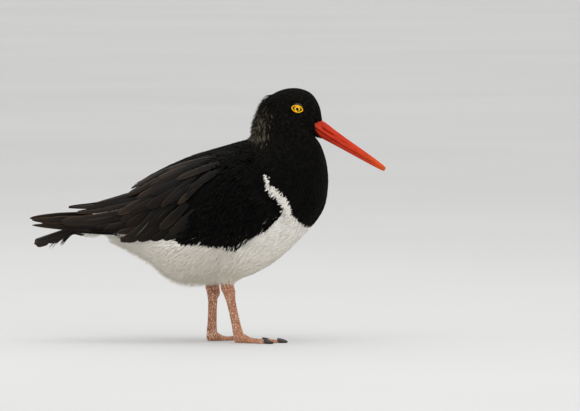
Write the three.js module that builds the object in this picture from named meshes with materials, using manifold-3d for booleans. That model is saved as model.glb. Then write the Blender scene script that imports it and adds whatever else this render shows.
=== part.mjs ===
// A pied oystercatcher standing at rest, at life size, in millimetres.
// +Z is up, +X points the way the bill does and +Y is the bird's left.
// The origin is on the floor, midway between the bill tip and the wing tips.
import * as THREE from 'three';
import { mergeVertices } from 'three/addons/utils/BufferGeometryUtils.js';
import Module from 'manifold-3d';

const wasm = await Module();
wasm.setup();

// Driving dimensions of the whole bird
const SPAN = 340;
const REAR_X = -SPAN / 2;
// Room between two faces that follow each other, and round a piece sunk in another
const GAP = 0.3;
const CLEARANCE = 0.42;
const DEGREE = Math.PI / 180;
const FULL_TURN = 2 * Math.PI;
// Points closer than this are one point
const WELD = 1e-5;
// Step at which a surface's scale is measured
const NEARBY = 0.01;

// Body: each station is one slanting slice, from a point on the back to a point on the belly.
// half is its half width there, and low moves the widest place towards the belly.
const BODY_STATIONS = [
  { name: 'tail root', back: [-101, 129], belly: [-103, 102.5], half: 15, low: 0.0 },
  { name: 'vent', back: [-84, 138], belly: [-84, 92.5], half: 25, low: 0.05 },
  { name: 'hind belly', back: [-60, 150.5], belly: [-58, 77], half: 35, low: 0.08 },
  { name: 'flank', back: [-33, 165], belly: [-32, 57.8], half: 42.5, low: 0.1 },
  { name: 'thighs', back: [-8, 176.5], belly: [3, 56.6], half: 45.5, low: 0.08 },
  { name: 'keel', back: [13, 184.5], belly: [34, 61], half: 46, low: 0.05 },
  { name: 'shoulders', back: [29, 190.5], belly: [64, 76.5], half: 44.5, low: 0.03 },
  { name: 'breast', back: [37.5, 195.5], belly: [92, 102.5], half: 42.5, low: 0.03 },
  { name: 'bib', back: [40.5, 199.5], belly: [110, 126], half: 38.5, low: 0.04 },
  { name: 'neck base', back: [41.5, 204.5], belly: [115, 150], half: 33, low: 0.06 },
  { name: 'neck', back: [43.5, 212], belly: [113.6, 171], half: 26.8, low: 0.1 },
  { name: 'throat', back: [47.5, 222.5], belly: [108.5, 187.5], half: 21.8, low: 0.06 },
  { name: 'nape', back: [55.5, 234.5], belly: [103.8, 194.8], half: 19, low: 0.0 },
  { name: 'hind crown', back: [69, 242.4], belly: [101.8, 196.6], half: 17.8, low: -0.02 },
  { name: 'crown', back: [84.5, 244.2], belly: [101.6, 197.2], half: 16.8, low: 0.0 },
  { name: 'forehead', back: [98, 239.2], belly: [102.2, 197.0], half: 14, low: 0.08 },
  { name: 'lores', back: [105.8, 227.5], belly: [103.4, 196.4], half: 10.4, low: 0.12 },
  { name: 'bill base', back: [108.8, 213.6], belly: [104.8, 195.6], half: 6.6, low: 0.1 },
];
const RING_SIDES = 28;
const RINGS_PER_STATION = 2;
const NECK_FROM = 8.5;
const HEAD_FROM = 11;
const BODY_END = BODY_STATIONS.length - 1;
// The feathering draws back beside the gape, by this much at the height of the mouth
const GAPE_SETBACK = 6.5;

// Eyes
const EYE_CENTRE = [84.7, 10.7, 224.4];
const EYE_RADIUS = 6.4;
const EYE_SIDES = [16, 10];
const SOCKET = { inset: 0.7, deep: 3, reach: 4 };
const LID_HALF_LENGTH = 5.3;
const LID_HALF_HEIGHT = 3.45;
const LID_TUBE = 0.95;
const LID_TILT = -14 * DEGREE;
const LID_OUT = 16.3;
const LID_SIDES = 16;
const LID_TURNS = 6;
const LID_POINTEDNESS = 0.12;
const LID_SEAT = { margin: 0.6, deep: 2.5, rise: 0.3 };

// Bill, measured along its own axis from the root inside the face to the tip
const BILL_ROOT = [95.2, 0, 213.6];
const BILL_TIP = [SPAN / 2 - 1, 0, 165.6];
const BILL_STATIONS = [
  { at: 0.0, up: 5.2, down: 4.6, half: 3.6 },
  { at: 0.1, up: 6.6, down: 6.6, half: 5.0 },
  { at: 0.18, up: 6.9, down: 7.3, half: 5.4 },
  { at: 0.3, up: 5.9, down: 6.6, half: 4.5 },
  { at: 0.45, up: 5.1, down: 5.7, half: 3.6 },
  { at: 0.6, up: 4.6, down: 5.0, half: 2.9 },
  { at: 0.75, up: 4.1, down: 4.2, half: 2.3 },
  { at: 0.88, up: 3.5, down: 3.3, half: 1.9 },
  { at: 0.96, up: 2.8, down: 2.5, half: 1.6 },
  { at: 1.0, up: 1.9, down: 1.7, half: 1.2 },
];
const BILL_SIDES = 20;
const BILL_SIDE_ROUNDNESS = 0.8;
const BILL_CUT_REACH = 20;
const NOSTRIL_FROM = 0.235;
const NOSTRIL_TO = 0.345;
const NOSTRIL_UP = 1.6;
const NOSTRIL_HEIGHT = 1.1;
const SEPTUM_HALF = 2.4;

// Folded wings: the outer surface that both wings and their feathers lie on, one slice every
// CLOAK_STEP along X. top, mid and foot are the heights of its ridge, widest place and underside.
const CLOAK_STEP = 30;
const CLOAK_STATIONS = [
  { top: 118.5, mid: 111, foot: 106, half: 7 },
  { top: 131, mid: 108, foot: 100, half: 16 },
  { top: 137, mid: 109, foot: 97, half: 24 },
  { top: 147.3, mid: 114, foot: 88, half: 33 },
  { top: 164, mid: 120, foot: 76, half: 42 },
  { top: 177.8, mid: 125, foot: 60, half: 48.5 },
  { top: 187.2, mid: 127, foot: 56, half: 51 },
  { top: 195.5, mid: 131, foot: 64, half: 50.5 },
  { top: 200, mid: 138, foot: 84, half: 47 },
];
// Edges of the wing on that surface, one value every CLOAK_STEP from the rear end
const WING_TOP_DEGREES = [40, 8, 5, 5, 9, 14, 20, 34, 80];
const WING_LOW_Z = [111, 104.5, 103.5, 103, 102.5, 101, 98, 103, 124];
const WING_REAR_X = -78;
const WING_FRONT_X = 73;
const WING_THICKNESS = 12;
const WING_EDGE_DROP = 2.2;
const WING_FRONT_DROP = 6;
const WING_FRONT_FADE = 14;
const WING_LEAST_ANGLE = 0.04;
const WING_SURFACE = -0.7;

// Feathers of the folded wing in tiers, from the rear to the front. Each tier's roots and tips run
// evenly from the first feather to the last, as [x, z] in the side view. lift is how far a feather
// stands out from the wing's surface at its root and tip, twist how far its lower edge is raised.
const WING_TIERS = [
  {
    name: 'secondaries', count: 4, half: 6.5, outline: 'round', lift: [-3, -0.6], twist: 0.3,
    roots: [[-30, 110], [-48, 124]], tips: [[-80, 99.5], [-103, 113]],
  },
  {
    name: 'tertials', count: 4, half: 7.2, outline: 'pointed', lift: [-2.6, 0.9], twist: 0.45,
    roots: [[-28, 134], [-22, 164]], tips: [[-92, 121], [-136, 131.6]],
  },
  {
    name: 'greater coverts', count: 7, half: 7, outline: 'round', lift: [-2.8, 1.1], twist: 0.4,
    roots: [[32, 117], [-38, 130]], tips: [[4, 96], [-72, 112]],
  },
  {
    name: 'median coverts', count: 6, half: 7, outline: 'round', lift: [-2.8, 1.6], twist: 0.4,
    roots: [[50, 128], [-14, 138]], tips: [[28, 101], [-46, 121]],
  },
  {
    name: 'scapulars', count: 5, half: 8, outline: 'round', lift: [-2.6, 2], twist: 0.5,
    roots: [[30, 150], [0, 172]], tips: [[-26, 134], [-76, 144]],
  },
];
const PRIMARIES = {
  name: 'primaries', count: 5, half: 5.6, outline: 'pointed', lift: [-7.5, -3.2], twist: 0.2,
  roots: [[-82, 108], [-82, 121]], tips: [[-169.6, 113.4], [-134, 125]],
};
const PRIMARY_SINK = 0.85;
const PRIMARY_BLOCK = { from: -88, to: WING_REAR_X - GAP, out: -3.6, deep: 5, top: 130, foot: 104 };

// Half widths of a feather along its length, as a share of its widest
const OUTLINES = {
  round: [[0, 0.55], [0.35, 0.95], [0.68, 1], [0.88, 0.74], [1, 0.24]],
  pointed: [[0, 0.7], [0.25, 0.95], [0.55, 1], [0.82, 0.72], [1, 0.14]],
};
const VANE_THICKNESS = 0.8;
const VANE_TIP_THICKNESS = 0.5;
const SHAFT_RISE = 0.25;

// Tail
const TAIL_ROOT = [-103.5, 0, 121.5];
const TAIL_TIP = [-167, 0, 97.2];
const TAIL_ARCH = 0.024;
const TAIL_CORE = { length: 34, half: [10.5, 9], thick: [17, 3.2], steps: 5, sides: 16 };
// Tail feathers in pairs. Each outer pair is a step lower and shorter, and the right one of a pair
// lies stagger of a step under the left one; gather draws the roots together and sink lowers them.
const RECTRICES = {
  pairs: 6, half: 5.4, root: 14, first: 1, spread: 2.3,
  gather: 0.45, shorten: 1.1, step: 0.75, stagger: 0.5, sink: 1,
};

// Legs: the right one is a step ahead and the left foot is turned out
const LEGS = [
  { side: 'left', ankle: [3.6, 16, 49.5], heel: [2.4, 16, 6.5], turn: 46, hip: [2, 16, 66] },
  { side: 'right', ankle: [18.6, -16, 50.8], heel: [28.6, -16, 6.5], turn: -4, hip: [13, -16, 66] },
];
const TARSUS_STATIONS = [
  { at: -0.22, fore: 5.0, side: 3.6 },
  { at: -0.12, fore: 6.2, side: 4.4 },
  { at: 0.0, fore: 6.7, side: 4.7 },
  { at: 0.1, fore: 6.0, side: 4.2 },
  { at: 0.22, fore: 4.7, side: 3.2 },
  { at: 0.45, fore: 4.3, side: 2.8 },
  { at: 0.75, fore: 4.3, side: 2.9 },
  { at: 0.92, fore: 5.0, side: 3.6 },
];
const TARSUS_SIDES = 14;
const THIGH_STATIONS = [
  { at: 0, fore: 11.1, side: 9.1 },
  { at: 0.7, fore: 7.6, side: 6.4 },
  { at: 1, fore: 6.1, side: 5.2 },
];
const THIGH_SIDES = 20;
const THIGH_FOOT = 54.5;
// Heel pad: half sizes of an ellipsoid and the height of its middle
const HEEL_PAD = { half: [5.2, 4.4, 5.4], rise: 4.4, sides: [12, 8] };
const TOES = [
  { name: 'inner', angle: -27, length: 27, width: 2.9 },
  { name: 'middle', angle: 0, length: 38, width: 3.1 },
  { name: 'outer', angle: 29, length: 32, width: 2.9 },
];
// taper is the share of the width lost by the tip, swell the share gained at each joint, tall the
// height over the width, and flat how far a toe is sunk in the floor
const TOE_FORM = { steps: 7, taper: 0.28, swell: 0.09, joints: 2.5, tall: 0.82, flat: 0.7 };
const TOE_SIDES = 10;
// back is how far a claw's root lies inside the toe, z its root's height, and drop the tip's fall
const CLAW = {
  places: [0, 0.3, 0.6, 0.85, 1], length: 8.4, half: 1.75, taper: 0.8, taperPower: 1.4,
  tall: 1.15, back: 1.6, z: 1.85, drop: 0.9, dropPower: 1.5,
};
const FLOOR_BLOCK = { side: 4 * SPAN, deep: 20 };

// One material for each finish
const material = (color, roughness) =>
  new THREE.MeshStandardMaterial({ color, roughness, metalness: 0 });
const BLACK_PLUMAGE = material(0x14120f, 0.75);
const WHITE_PLUMAGE = material(0xe6e1d6, 0.9);
const BROWN_FLIGHT = material(0x2a211b, 0.65);
const BILL_RED = material(0xd23a1e, 0.4);
const EYE_YELLOW = material(0xf0b400, 0.15);
const LEG_PINK = material(0xc99a80, 0.6);
const CLAW_BLACK = material(0x1d1a18, 0.45);

const bird = new THREE.Group();

// Adds a named piece to the bird.
function addPiece(name, geometry, finish) {
  const mesh = new THREE.Mesh(geometry, finish);
  mesh.name = name;
  bird.add(mesh);
}

// A smooth curve through evenly spaced values, read at a place counted in values.
function spline(values, place) {
  const last = values.length - 1;
  const i = Math.min(Math.max(Math.floor(place), 0), last - 1);
  const f = place - i;
  const p1 = values[i];
  const p2 = values[i + 1];
  const p0 = i > 0 ? values[i - 1] : 2 * p1 - p2;
  const p3 = i + 2 <= last ? values[i + 2] : 2 * p2 - p1;
  const m1 = (p2 - p0) / 2;
  const m2 = (p3 - p1) / 2;
  const f2 = f * f;
  const f3 = f2 * f;
  return (2 * f3 - 3 * f2 + 1) * p1 + (f3 - 2 * f2 + f) * m1 + (3 * f2 - 2 * f3) * p2 + (f3 - f2) * m2;
}

// Geometry from vertices and triangles, turned so that its faces point out.
function shell(vertices, triangles) {
  let volume = 0;
  for (const [a, b, c] of triangles) {
    volume += vertices[a].dot(new THREE.Vector3().crossVectors(vertices[b], vertices[c])) / 6;
  }
  const facing = volume < 0 ? ([a, b, c]) => [a, c, b] : (t) => t;
  const geometry = new THREE.BufferGeometry();
  const places = vertices.flatMap((v) => v.toArray());
  geometry.setAttribute('position', new THREE.Float32BufferAttribute(places, 3));
  geometry.setIndex(triangles.map(facing).flat());
  return geometry;
}

// Closed surface through rings of points, with a flat fan over each end.
function loft(rings) {
  const n = rings[0].length;
  const vertices = rings.flat();
  const triangles = [];
  for (let i = 0; i + 1 < rings.length; i += 1) {
    for (let j = 0; j < n; j += 1) {
      const k = (j + 1) % n;
      const a = i * n + j;
      const b = i * n + k;
      triangles.push([a, b, b + n], [a, b + n, a + n]);
    }
  }
  for (const [ring, start] of [[rings[0], 0], [rings.at(-1), (rings.length - 1) * n]]) {
    const centre = ring.reduce((sum, p) => sum.add(p), new THREE.Vector3()).multiplyScalar(1 / n);
    const c = vertices.push(centre) - 1;
    for (let j = 0; j < n; j += 1) {
      const k = (j + 1) % n;
      triangles.push(start ? [start + j, start + k, c] : [start + k, start + j, c]);
    }
  }
  return shell(vertices, triangles);
}

// Closed plate between two sheets of points of the same size, cut into triangles alike on both.
function plate(upper, lower) {
  const rows = upper.length;
  const n = upper[0].length;
  const vertices = [...upper.flat(), ...lower.flat()];
  const under = rows * n;
  const triangles = [];
  for (let i = 0; i + 1 < rows; i += 1) {
    for (let j = 0; j + 1 < n; j += 1) {
      const a = i * n + j;
      triangles.push([a, a + 1, a + n + 1], [a, a + n + 1, a + n]);
      const b = a + under;
      triangles.push([b, b + n + 1, b + 1], [b, b + n, b + n + 1]);
    }
  }
  const rim = [];
  for (let j = 0; j < n - 1; j += 1) rim.push(j);
  for (let i = 0; i < rows - 1; i += 1) rim.push(i * n + n - 1);
  for (let j = n - 1; j > 0; j -= 1) rim.push((rows - 1) * n + j);
  for (let i = rows - 1; i > 0; i -= 1) rim.push(i * n);
  rim.forEach((a, i) => {
    const b = rim[(i + 1) % rim.length];
    triangles.push([a, a + under, b + under], [a, b + under, b]);
  });
  return shell(vertices, triangles);
}

// A closed geometry as a solid for joining and cutting.
function solid(geometry) {
  const bare = geometry.clone();
  bare.deleteAttribute('normal');
  bare.deleteAttribute('uv');
  const merged = mergeVertices(bare, WELD);
  return new wasm.Manifold(new wasm.Mesh({
    numProp: 3,
    vertProperties: new Float32Array(merged.attributes.position.array),
    triVerts: new Uint32Array(merged.index.array),
  }));
}

// The largest closed surface of a solid, as geometry.
function largest(body) {
  const piece = body.decompose().reduce((best, part) => (part.volume() > best.volume() ? part : best));
  const { vertProperties, triVerts } = piece.getMesh();
  const geometry = new THREE.BufferGeometry();
  geometry.setAttribute('position', new THREE.BufferAttribute(new Float32Array(vertProperties), 3));
  geometry.setIndex(new THREE.BufferAttribute(new Uint32Array(triVerts), 1));
  return geometry;
}

// One slice of the body: an egg-shaped ring across the line from belly to back. grow widens it all
// round, and shift moves it along its own normal.
function bodyRing(place, grow = 0, shift = 0) {
  const read = (pick) => spline(BODY_STATIONS.map(pick), place);
  const back = new THREE.Vector3(read((s) => s.back[0]), 0, read((s) => s.back[1]));
  const belly = new THREE.Vector3(read((s) => s.belly[0]), 0, read((s) => s.belly[1]));
  const centre = back.clone().add(belly).multiplyScalar(0.5);
  const up = back.clone().sub(belly);
  const tall = up.length() / 2 + grow;
  up.normalize();
  const ahead = new THREE.Vector3(up.z, 0, -up.x);
  const half = read((s) => s.half) + grow;
  const low = read((s) => s.low);
  const gape = GAPE_SETBACK * THREE.MathUtils.smoothstep(place, BODY_END - 2, BODY_END);
  const ring = [];
  for (let j = 0; j < RING_SIDES; j += 1) {
    const turn = (FULL_TURN * j) / RING_SIDES;
    const across = Math.sin(turn);
    const point = centre.clone().addScaledVector(up, tall * Math.cos(turn));
    point.y = half * across * (1 - low * Math.cos(turn));
    point.addScaledVector(ahead, shift - gape * across ** 4);
    ring.push(point);
  }
  return ring;
}

// A length of the body between two places.
function bodyLoft(from, to, grow = 0, startShift = 0) {
  const steps = Math.round((to - from) * RINGS_PER_STATION);
  const rings = [];
  for (let i = 0; i <= steps; i += 1) {
    rings.push(bodyRing(from + ((to - from) * i) / steps, grow, i === 0 ? startShift : 0));
  }
  return loft(rings);
}

// The bill's root, length, direction and the direction straight up from it.
function billAxis() {
  const root = new THREE.Vector3(...BILL_ROOT);
  const along = new THREE.Vector3(...BILL_TIP).sub(root);
  const length = along.length();
  along.normalize();
  return { root, along, length, up: new THREE.Vector3(-along.z, 0, along.x) };
}

// Bill: slices across its axis, each with its own reach above and below it.
function billLoft(grow) {
  const { root, along, length, up } = billAxis();
  const rings = BILL_STATIONS.map(({ at, up: rise, down, half }) => {
    const centre = root.clone().addScaledVector(along, at * length);
    const ring = [];
    for (let j = 0; j < BILL_SIDES; j += 1) {
      const turn = (FULL_TURN * j) / BILL_SIDES;
      const tall = (Math.cos(turn) > 0 ? rise : down) + grow;
      const point = centre.clone().addScaledVector(up, tall * Math.cos(turn));
      const across = Math.sin(turn);
      point.y = (half + grow) * Math.sign(across) * Math.abs(across) ** BILL_SIDE_ROUNDNESS;
      ring.push(point);
    }
    return ring;
  });
  return loft(rings);
}

// A box in the bill's own frame, from one corner to the other along, across and up.
function billBox(low, high) {
  const { root, along, up } = billAxis();
  const size = high.map((value, i) => value - low[i]);
  const box = new THREE.BoxGeometry(...size);
  box.translate(...high.map((value, i) => (value + low[i]) / 2));
  const frame = new THREE.Matrix4().makeBasis(along, new THREE.Vector3(0, 1, 0), up);
  box.applyMatrix4(frame.setPosition(root));
  return solid(box);
}

// Bill: an upper and a lower half, with a slot for each nostril and a wall left between the two.
function addBill() {
  const { length } = billAxis();
  const reach = BILL_CUT_REACH;
  const whole = solid(billLoft(0));
  const upperHalf = billBox([-reach, -reach, GAP / 2], [length + reach, reach, reach]);
  const lowerHalf = billBox([-reach, -reach, -reach], [length + reach, reach, -GAP / 2]);
  const slot = billBox(
    [NOSTRIL_FROM * length, -reach, NOSTRIL_UP],
    [NOSTRIL_TO * length, reach, NOSTRIL_UP + NOSTRIL_HEIGHT],
  );
  const septum = billBox([0, -SEPTUM_HALF, 0], [length, SEPTUM_HALF, reach]);
  addPiece('bill_upper', largest(whole.intersect(upperHalf).subtract(slot.subtract(septum))), BILL_RED);
  addPiece('bill_lower', largest(whole.intersect(lowerHalf)), BILL_RED);
}

// Ring of points round the eye's opening in the side view, grown all round, at a distance out from
// the middle plane.
function lidRing(grow, out, side) {
  const ring = [];
  for (let j = 0; j < LID_SIDES; j += 1) {
    const turn = (FULL_TURN * j) / LID_SIDES;
    const x = (LID_HALF_LENGTH + grow) * Math.cos(turn);
    const z = (LID_HALF_HEIGHT + grow) * Math.sin(turn) * (1 - LID_POINTEDNESS * Math.cos(turn) ** 2);
    ring.push(new THREE.Vector3(
      EYE_CENTRE[0] + x * Math.cos(LID_TILT) - z * Math.sin(LID_TILT),
      side * out,
      EYE_CENTRE[2] + x * Math.sin(LID_TILT) + z * Math.cos(LID_TILT),
    ));
  }
  return ring;
}

// Closed ring-shaped tube through rings of points, the last joined to the first.
function tubeRing(rings) {
  const n = rings[0].length;
  const vertices = rings.flat();
  const triangles = [];
  rings.forEach((_, i) => {
    const next = (i + 1) % rings.length;
    for (let j = 0; j < n; j += 1) {
      const k = (j + 1) % n;
      triangles.push([i * n + j, i * n + k, next * n + k], [i * n + j, next * n + k, next * n + j]);
    }
  });
  return shell(vertices, triangles);
}

// A ball round one eye's centre.
function eyeBall(radius, side) {
  const ball = new THREE.SphereGeometry(radius, ...EYE_SIDES);
  return solid(ball.translate(EYE_CENTRE[0], side * EYE_CENTRE[1], EYE_CENTRE[2]));
}

// Head: the last length of the body, with sockets, raised lids and the bill's seat.
function addHead() {
  let head = solid(bodyLoft(HEAD_FROM, BODY_END, 0, GAP));
  for (const side of [1, -1]) {
    const rings = [];
    for (let i = 0; i < LID_TURNS; i += 1) {
      const turn = (FULL_TURN * i) / LID_TURNS;
      rings.push(lidRing(LID_TUBE * Math.cos(turn), LID_OUT + LID_TUBE * Math.sin(turn), side));
    }
    const seat = loft([
      lidRing(LID_SEAT.margin, LID_OUT - LID_SEAT.deep, side),
      lidRing(LID_SEAT.margin, LID_OUT + LID_SEAT.rise, side),
    ]);
    const socket = loft([
      lidRing(-SOCKET.inset, EYE_CENTRE[1] - SOCKET.deep, side),
      lidRing(-SOCKET.inset, LID_OUT + SOCKET.reach, side),
    ]);
    head = head.add(solid(seat)).add(solid(tubeRing(rings)));
    head = head.subtract(solid(socket)).subtract(eyeBall(EYE_RADIUS + CLEARANCE, side));
  }
  head = head.subtract(solid(billLoft(CLEARANCE)));
  addPiece('head', largest(head), BLACK_PLUMAGE);
}

function addEyes() {
  addPiece('eye_left', largest(eyeBall(EYE_RADIUS, 1)), EYE_YELLOW);
  addPiece('eye_right', largest(eyeBall(EYE_RADIUS, -1)), EYE_YELLOW);
}

function addNeckAndTorso() {
  addPiece('neck', bodyLoft(NECK_FROM, HEAD_FROM, 0, GAP), BLACK_PLUMAGE);
  addPiece('torso', bodyLoft(0, NECK_FROM), WHITE_PLUMAGE);
}

// A point on the folded wings' outer surface, at x and an angle down from the ridge, raised by out.
function cloakPoint(x, angle, out, side) {
  const place = (x - REAR_X) / CLOAK_STEP;
  const read = (key) => spline(CLOAK_STATIONS.map((s) => s[key]), place);
  const mid = read('mid');
  const c = Math.cos(angle);
  const tall = (c > 0 ? read('top') - mid : mid - read('foot')) + out;
  return new THREE.Vector3(x, side * (read('half') + out) * Math.sin(angle), mid + tall * c);
}

// The angle down the folded wing at which it reaches a height.
function cloakAngle(x, z) {
  const place = (x - REAR_X) / CLOAK_STEP;
  const read = (key) => spline(CLOAK_STATIONS.map((s) => s[key]), place);
  const mid = read('mid');
  const c = z > mid ? (z - mid) / (read('top') - mid) : (z - mid) / (mid - read('foot'));
  return Math.acos(THREE.MathUtils.clamp(c, -1, 1));
}

// A feather: a thin plate laid on a surface, from one place on it to another, with a low ridge
// along its shaft. locate gives the surface's point at a place (x, v) raised by out.
function feather(locate, from, to, { half, outline, lift, twist }, grow = 0) {
  const upper = [];
  const lower = [];
  for (const [along, width] of OUTLINES[outline]) {
    const x = THREE.MathUtils.lerp(from[0], to[0], along);
    const v = THREE.MathUtils.lerp(from[1], to[1], along);
    const scale = locate(x, v + NEARBY, 0).distanceTo(locate(x, v - NEARBY, 0)) / (2 * NEARBY);
    const run = to[0] - from[0];
    const turn = (to[1] - from[1]) * scale;
    const size = Math.hypot(run, turn);
    const out = THREE.MathUtils.lerp(lift[0], lift[1], along);
    const thick = THREE.MathUtils.lerp(VANE_THICKNESS, VANE_TIP_THICKNESS, along ** 3);
    const end = (along - 0.5) * 2 * grow;
    const upperRow = [];
    const lowerRow = [];
    for (const across of [-1, 0, 1]) {
      const reach = across * (half * width + grow);
      const px = x - (turn / size) * reach + (run / size) * end;
      const pv = v + ((run / size) * reach) / scale + (turn / size / scale) * end;
      const rise = out + twist * across + (across ? 0 : SHAFT_RISE);
      upperRow.push(locate(px, pv, rise + grow));
      lowerRow.push(locate(px, pv, rise - thick - grow));
    }
    upper.push(upperRow);
    lower.push(lowerRow);
  }
  return solid(plate(upper, lower));
}

// One tier of feathers on a folded wing.
function wingTier(tier, side, grow = 0) {
  const locate = (x, v, out) => cloakPoint(x, v, out, side);
  const feathers = [];
  for (let i = 0; i < tier.count; i += 1) {
    const share = i / (tier.count - 1);
    const [root, tip] = [tier.roots, tier.tips].map(([first, last]) => {
      const x = THREE.MathUtils.lerp(first[0], last[0], share);
      return [x, cloakAngle(x, THREE.MathUtils.lerp(first[1], last[1], share))];
    });
    const sink = (tier.sink ?? 0) * i;
    const lift = tier.lift.map((value) => value + sink);
    feathers.push(feather(locate, root, tip, { ...tier, lift }, grow));
  }
  return feathers;
}

// A plate on the flank between two places along the body, thinner towards its edges.
function flankPlate({ from, to, topAngle, lowAngle, rise, deep, rows, columns }, side) {
  const upper = [];
  const lower = [];
  for (let i = 0; i <= rows; i += 1) {
    const x = from + ((to - from) * i) / rows;
    const top = topAngle(x);
    const low = Math.max(lowAngle(x), top + WING_LEAST_ANGLE);
    const topRow = [];
    const lowRow = [];
    for (let j = 0; j <= columns; j += 1) {
      const across = j / columns;
      const angle = top + (low - top) * across;
      topRow.push(cloakPoint(x, angle, rise(x, across), side));
      lowRow.push(cloakPoint(x, angle, rise(x, across) - deep, side));
    }
    upper.push(topRow);
    lower.push(lowRow);
  }
  return solid(plate(upper, lower));
}

// The fleshy part of the wing, which carries the tiers of feathers.
function wingCore(side) {
  const place = (x) => (x - REAR_X) / CLOAK_STEP;
  return flankPlate({
    from: WING_REAR_X,
    to: WING_FRONT_X,
    topAngle: (x) => spline(WING_TOP_DEGREES, place(x)) * DEGREE,
    lowAngle: (x) => cloakAngle(x, spline(WING_LOW_Z, place(x))),
    rise: (x, across) => WING_SURFACE - WING_EDGE_DROP * (2 * across - 1) ** 4
      - WING_FRONT_DROP * THREE.MathUtils.smoothstep(x, WING_FRONT_X - WING_FRONT_FADE, WING_FRONT_X),
    deep: WING_THICKNESS,
    rows: 15,
    columns: 8,
  }, side);
}

function addWings(carriers) {
  for (const [side, name] of [[1, 'left'], [-1, 'right']]) {
    let wing = wingCore(side);
    const room = [];
    for (const tier of WING_TIERS) {
      for (const vane of wingTier(tier, side)) wing = wing.add(vane);
      room.push(...wingTier(tier, side, GAP));
    }
    for (const carrier of carriers) wing = wing.subtract(carrier);
    addPiece(`wing_${name}`, largest(wing), BLACK_PLUMAGE);

    const { from, to, out, deep, top, foot } = PRIMARY_BLOCK;
    let hand = flankPlate({
      from,
      to,
      topAngle: (x) => cloakAngle(x, top),
      lowAngle: (x) => cloakAngle(x, foot),
      rise: () => out,
      deep,
      rows: 2,
      columns: 5,
    }, side);
    for (const vane of wingTier({ ...PRIMARIES, sink: PRIMARY_SINK }, side)) hand = hand.add(vane);
    for (const carrier of [...carriers, ...room]) hand = hand.subtract(carrier);
    addPiece(`primaries_${name}`, largest(hand), BROWN_FLIGHT);
  }
}

// A point on the tail's upper side: along from its root, across from the middle, raised by out.
function tailPoint(along, across, out) {
  const root = new THREE.Vector3(...TAIL_ROOT);
  const axis = new THREE.Vector3(...TAIL_TIP).sub(root).normalize();
  const point = root.addScaledVector(axis, along);
  point.y = across;
  point.z += out - TAIL_ARCH * across * across;
  return point;
}

// The stump of the tail that carries its feathers, grown by a margin where others keep clear of it.
function tailCore(grow) {
  const { length, steps, sides } = TAIL_CORE;
  const rings = [];
  for (let i = 0; i <= steps; i += 1) {
    const along = i / steps;
    const half = THREE.MathUtils.lerp(...TAIL_CORE.half, along) + grow;
    const thick = THREE.MathUtils.lerp(...TAIL_CORE.thick, along);
    const ring = [];
    for (let j = 0; j < sides; j += 1) {
      const turn = (FULL_TURN * j) / sides;
      const rise = (thick / 2 + grow) * Math.cos(turn) - thick / 2;
      ring.push(tailPoint(length * along, half * Math.sin(turn), rise));
    }
    rings.push(ring);
  }
  return solid(loft(rings));
}

// The tail feathers, the middle pair on top and each outer pair a step lower.
function tailFeathers(grow) {
  const { pairs, half, root, first, spread, gather, shorten, step, stagger, sink } = RECTRICES;
  const full = new THREE.Vector3(...TAIL_TIP).distanceTo(new THREE.Vector3(...TAIL_ROOT));
  const feathers = [];
  for (let i = 0; i < pairs; i += 1) {
    for (const side of [1, -1]) {
      const across = side * (first + spread * i);
      const level = -step * (i + (side > 0 ? 0 : stagger));
      const shape = { half, outline: 'round', lift: [level - sink, level], twist: 0 };
      const from = [root, across * gather];
      feathers.push(feather(tailPoint, from, [full - shorten * i, across], shape, grow));
    }
  }
  return feathers;
}

function addTail(carriers) {
  let tail = tailCore(0);
  for (const vane of tailFeathers(0)) tail = tail.add(vane);
  for (const carrier of carriers) tail = tail.subtract(carrier);
  addPiece('tail', largest(tail), BLACK_PLUMAGE);
}

// Elliptical slices along a straight line from one point to another.
function limbLoft(from, to, stations, sides, grow) {
  const start = new THREE.Vector3(...from);
  const axis = new THREE.Vector3(...to).sub(start);
  const rings = stations.map(({ at, fore, side }) => {
    const centre = start.clone().addScaledVector(axis, at);
    const ring = [];
    for (let j = 0; j < sides; j += 1) {
      const turn = (FULL_TURN * j) / sides;
      ring.push(new THREE.Vector3(
        centre.x + (fore + grow) * Math.cos(turn),
        centre.y + (side + grow) * Math.sin(turn),
        centre.z,
      ));
    }
    return ring;
  });
  return loft(rings);
}

// A toe or claw: round slices along the floor from the heel outwards, in the leg's own direction.
function toeLoft(leg, angle, slices, grow) {
  const ahead = new THREE.Vector3(Math.cos(angle), Math.sin(angle), 0);
  const across = new THREE.Vector3(-ahead.y, ahead.x, 0);
  const rings = slices.map(({ out, half, tall, z }) => {
    const ring = [];
    for (let j = 0; j < TOE_SIDES; j += 1) {
      const turn = (FULL_TURN * j) / TOE_SIDES;
      const point = new THREE.Vector3(leg.heel[0], leg.heel[1], z + (tall + grow) * Math.cos(turn));
      point.addScaledVector(ahead, out);
      point.addScaledVector(across, (half + grow) * Math.sin(turn));
      ring.push(point);
    }
    return ring;
  });
  return loft(rings);
}

// Toe slices swell at each joint and stay sunk a little in the floor, to leave a flat sole.
function toeSlices({ length, width }) {
  const { steps, taper, swell, joints, tall, flat } = TOE_FORM;
  const slices = [];
  for (let i = 0; i <= steps; i += 1) {
    const along = i / steps;
    const half = width * (1 - taper * along) * (1 + swell * Math.cos(along * FULL_TURN * joints));
    slices.push({ out: length * along, half, tall: half * tall, z: half * tall - flat });
  }
  return slices;
}

// Claw slices shrink to the tip and sink towards the floor.
function clawSlices({ length }) {
  return CLAW.places.map((along) => {
    const half = CLAW.half * (1 - CLAW.taper * along ** CLAW.taperPower);
    const z = CLAW.z - CLAW.drop * along ** CLAW.dropPower;
    return { out: length - CLAW.back + CLAW.length * along, half, tall: half * CLAW.tall, z };
  });
}

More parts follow.
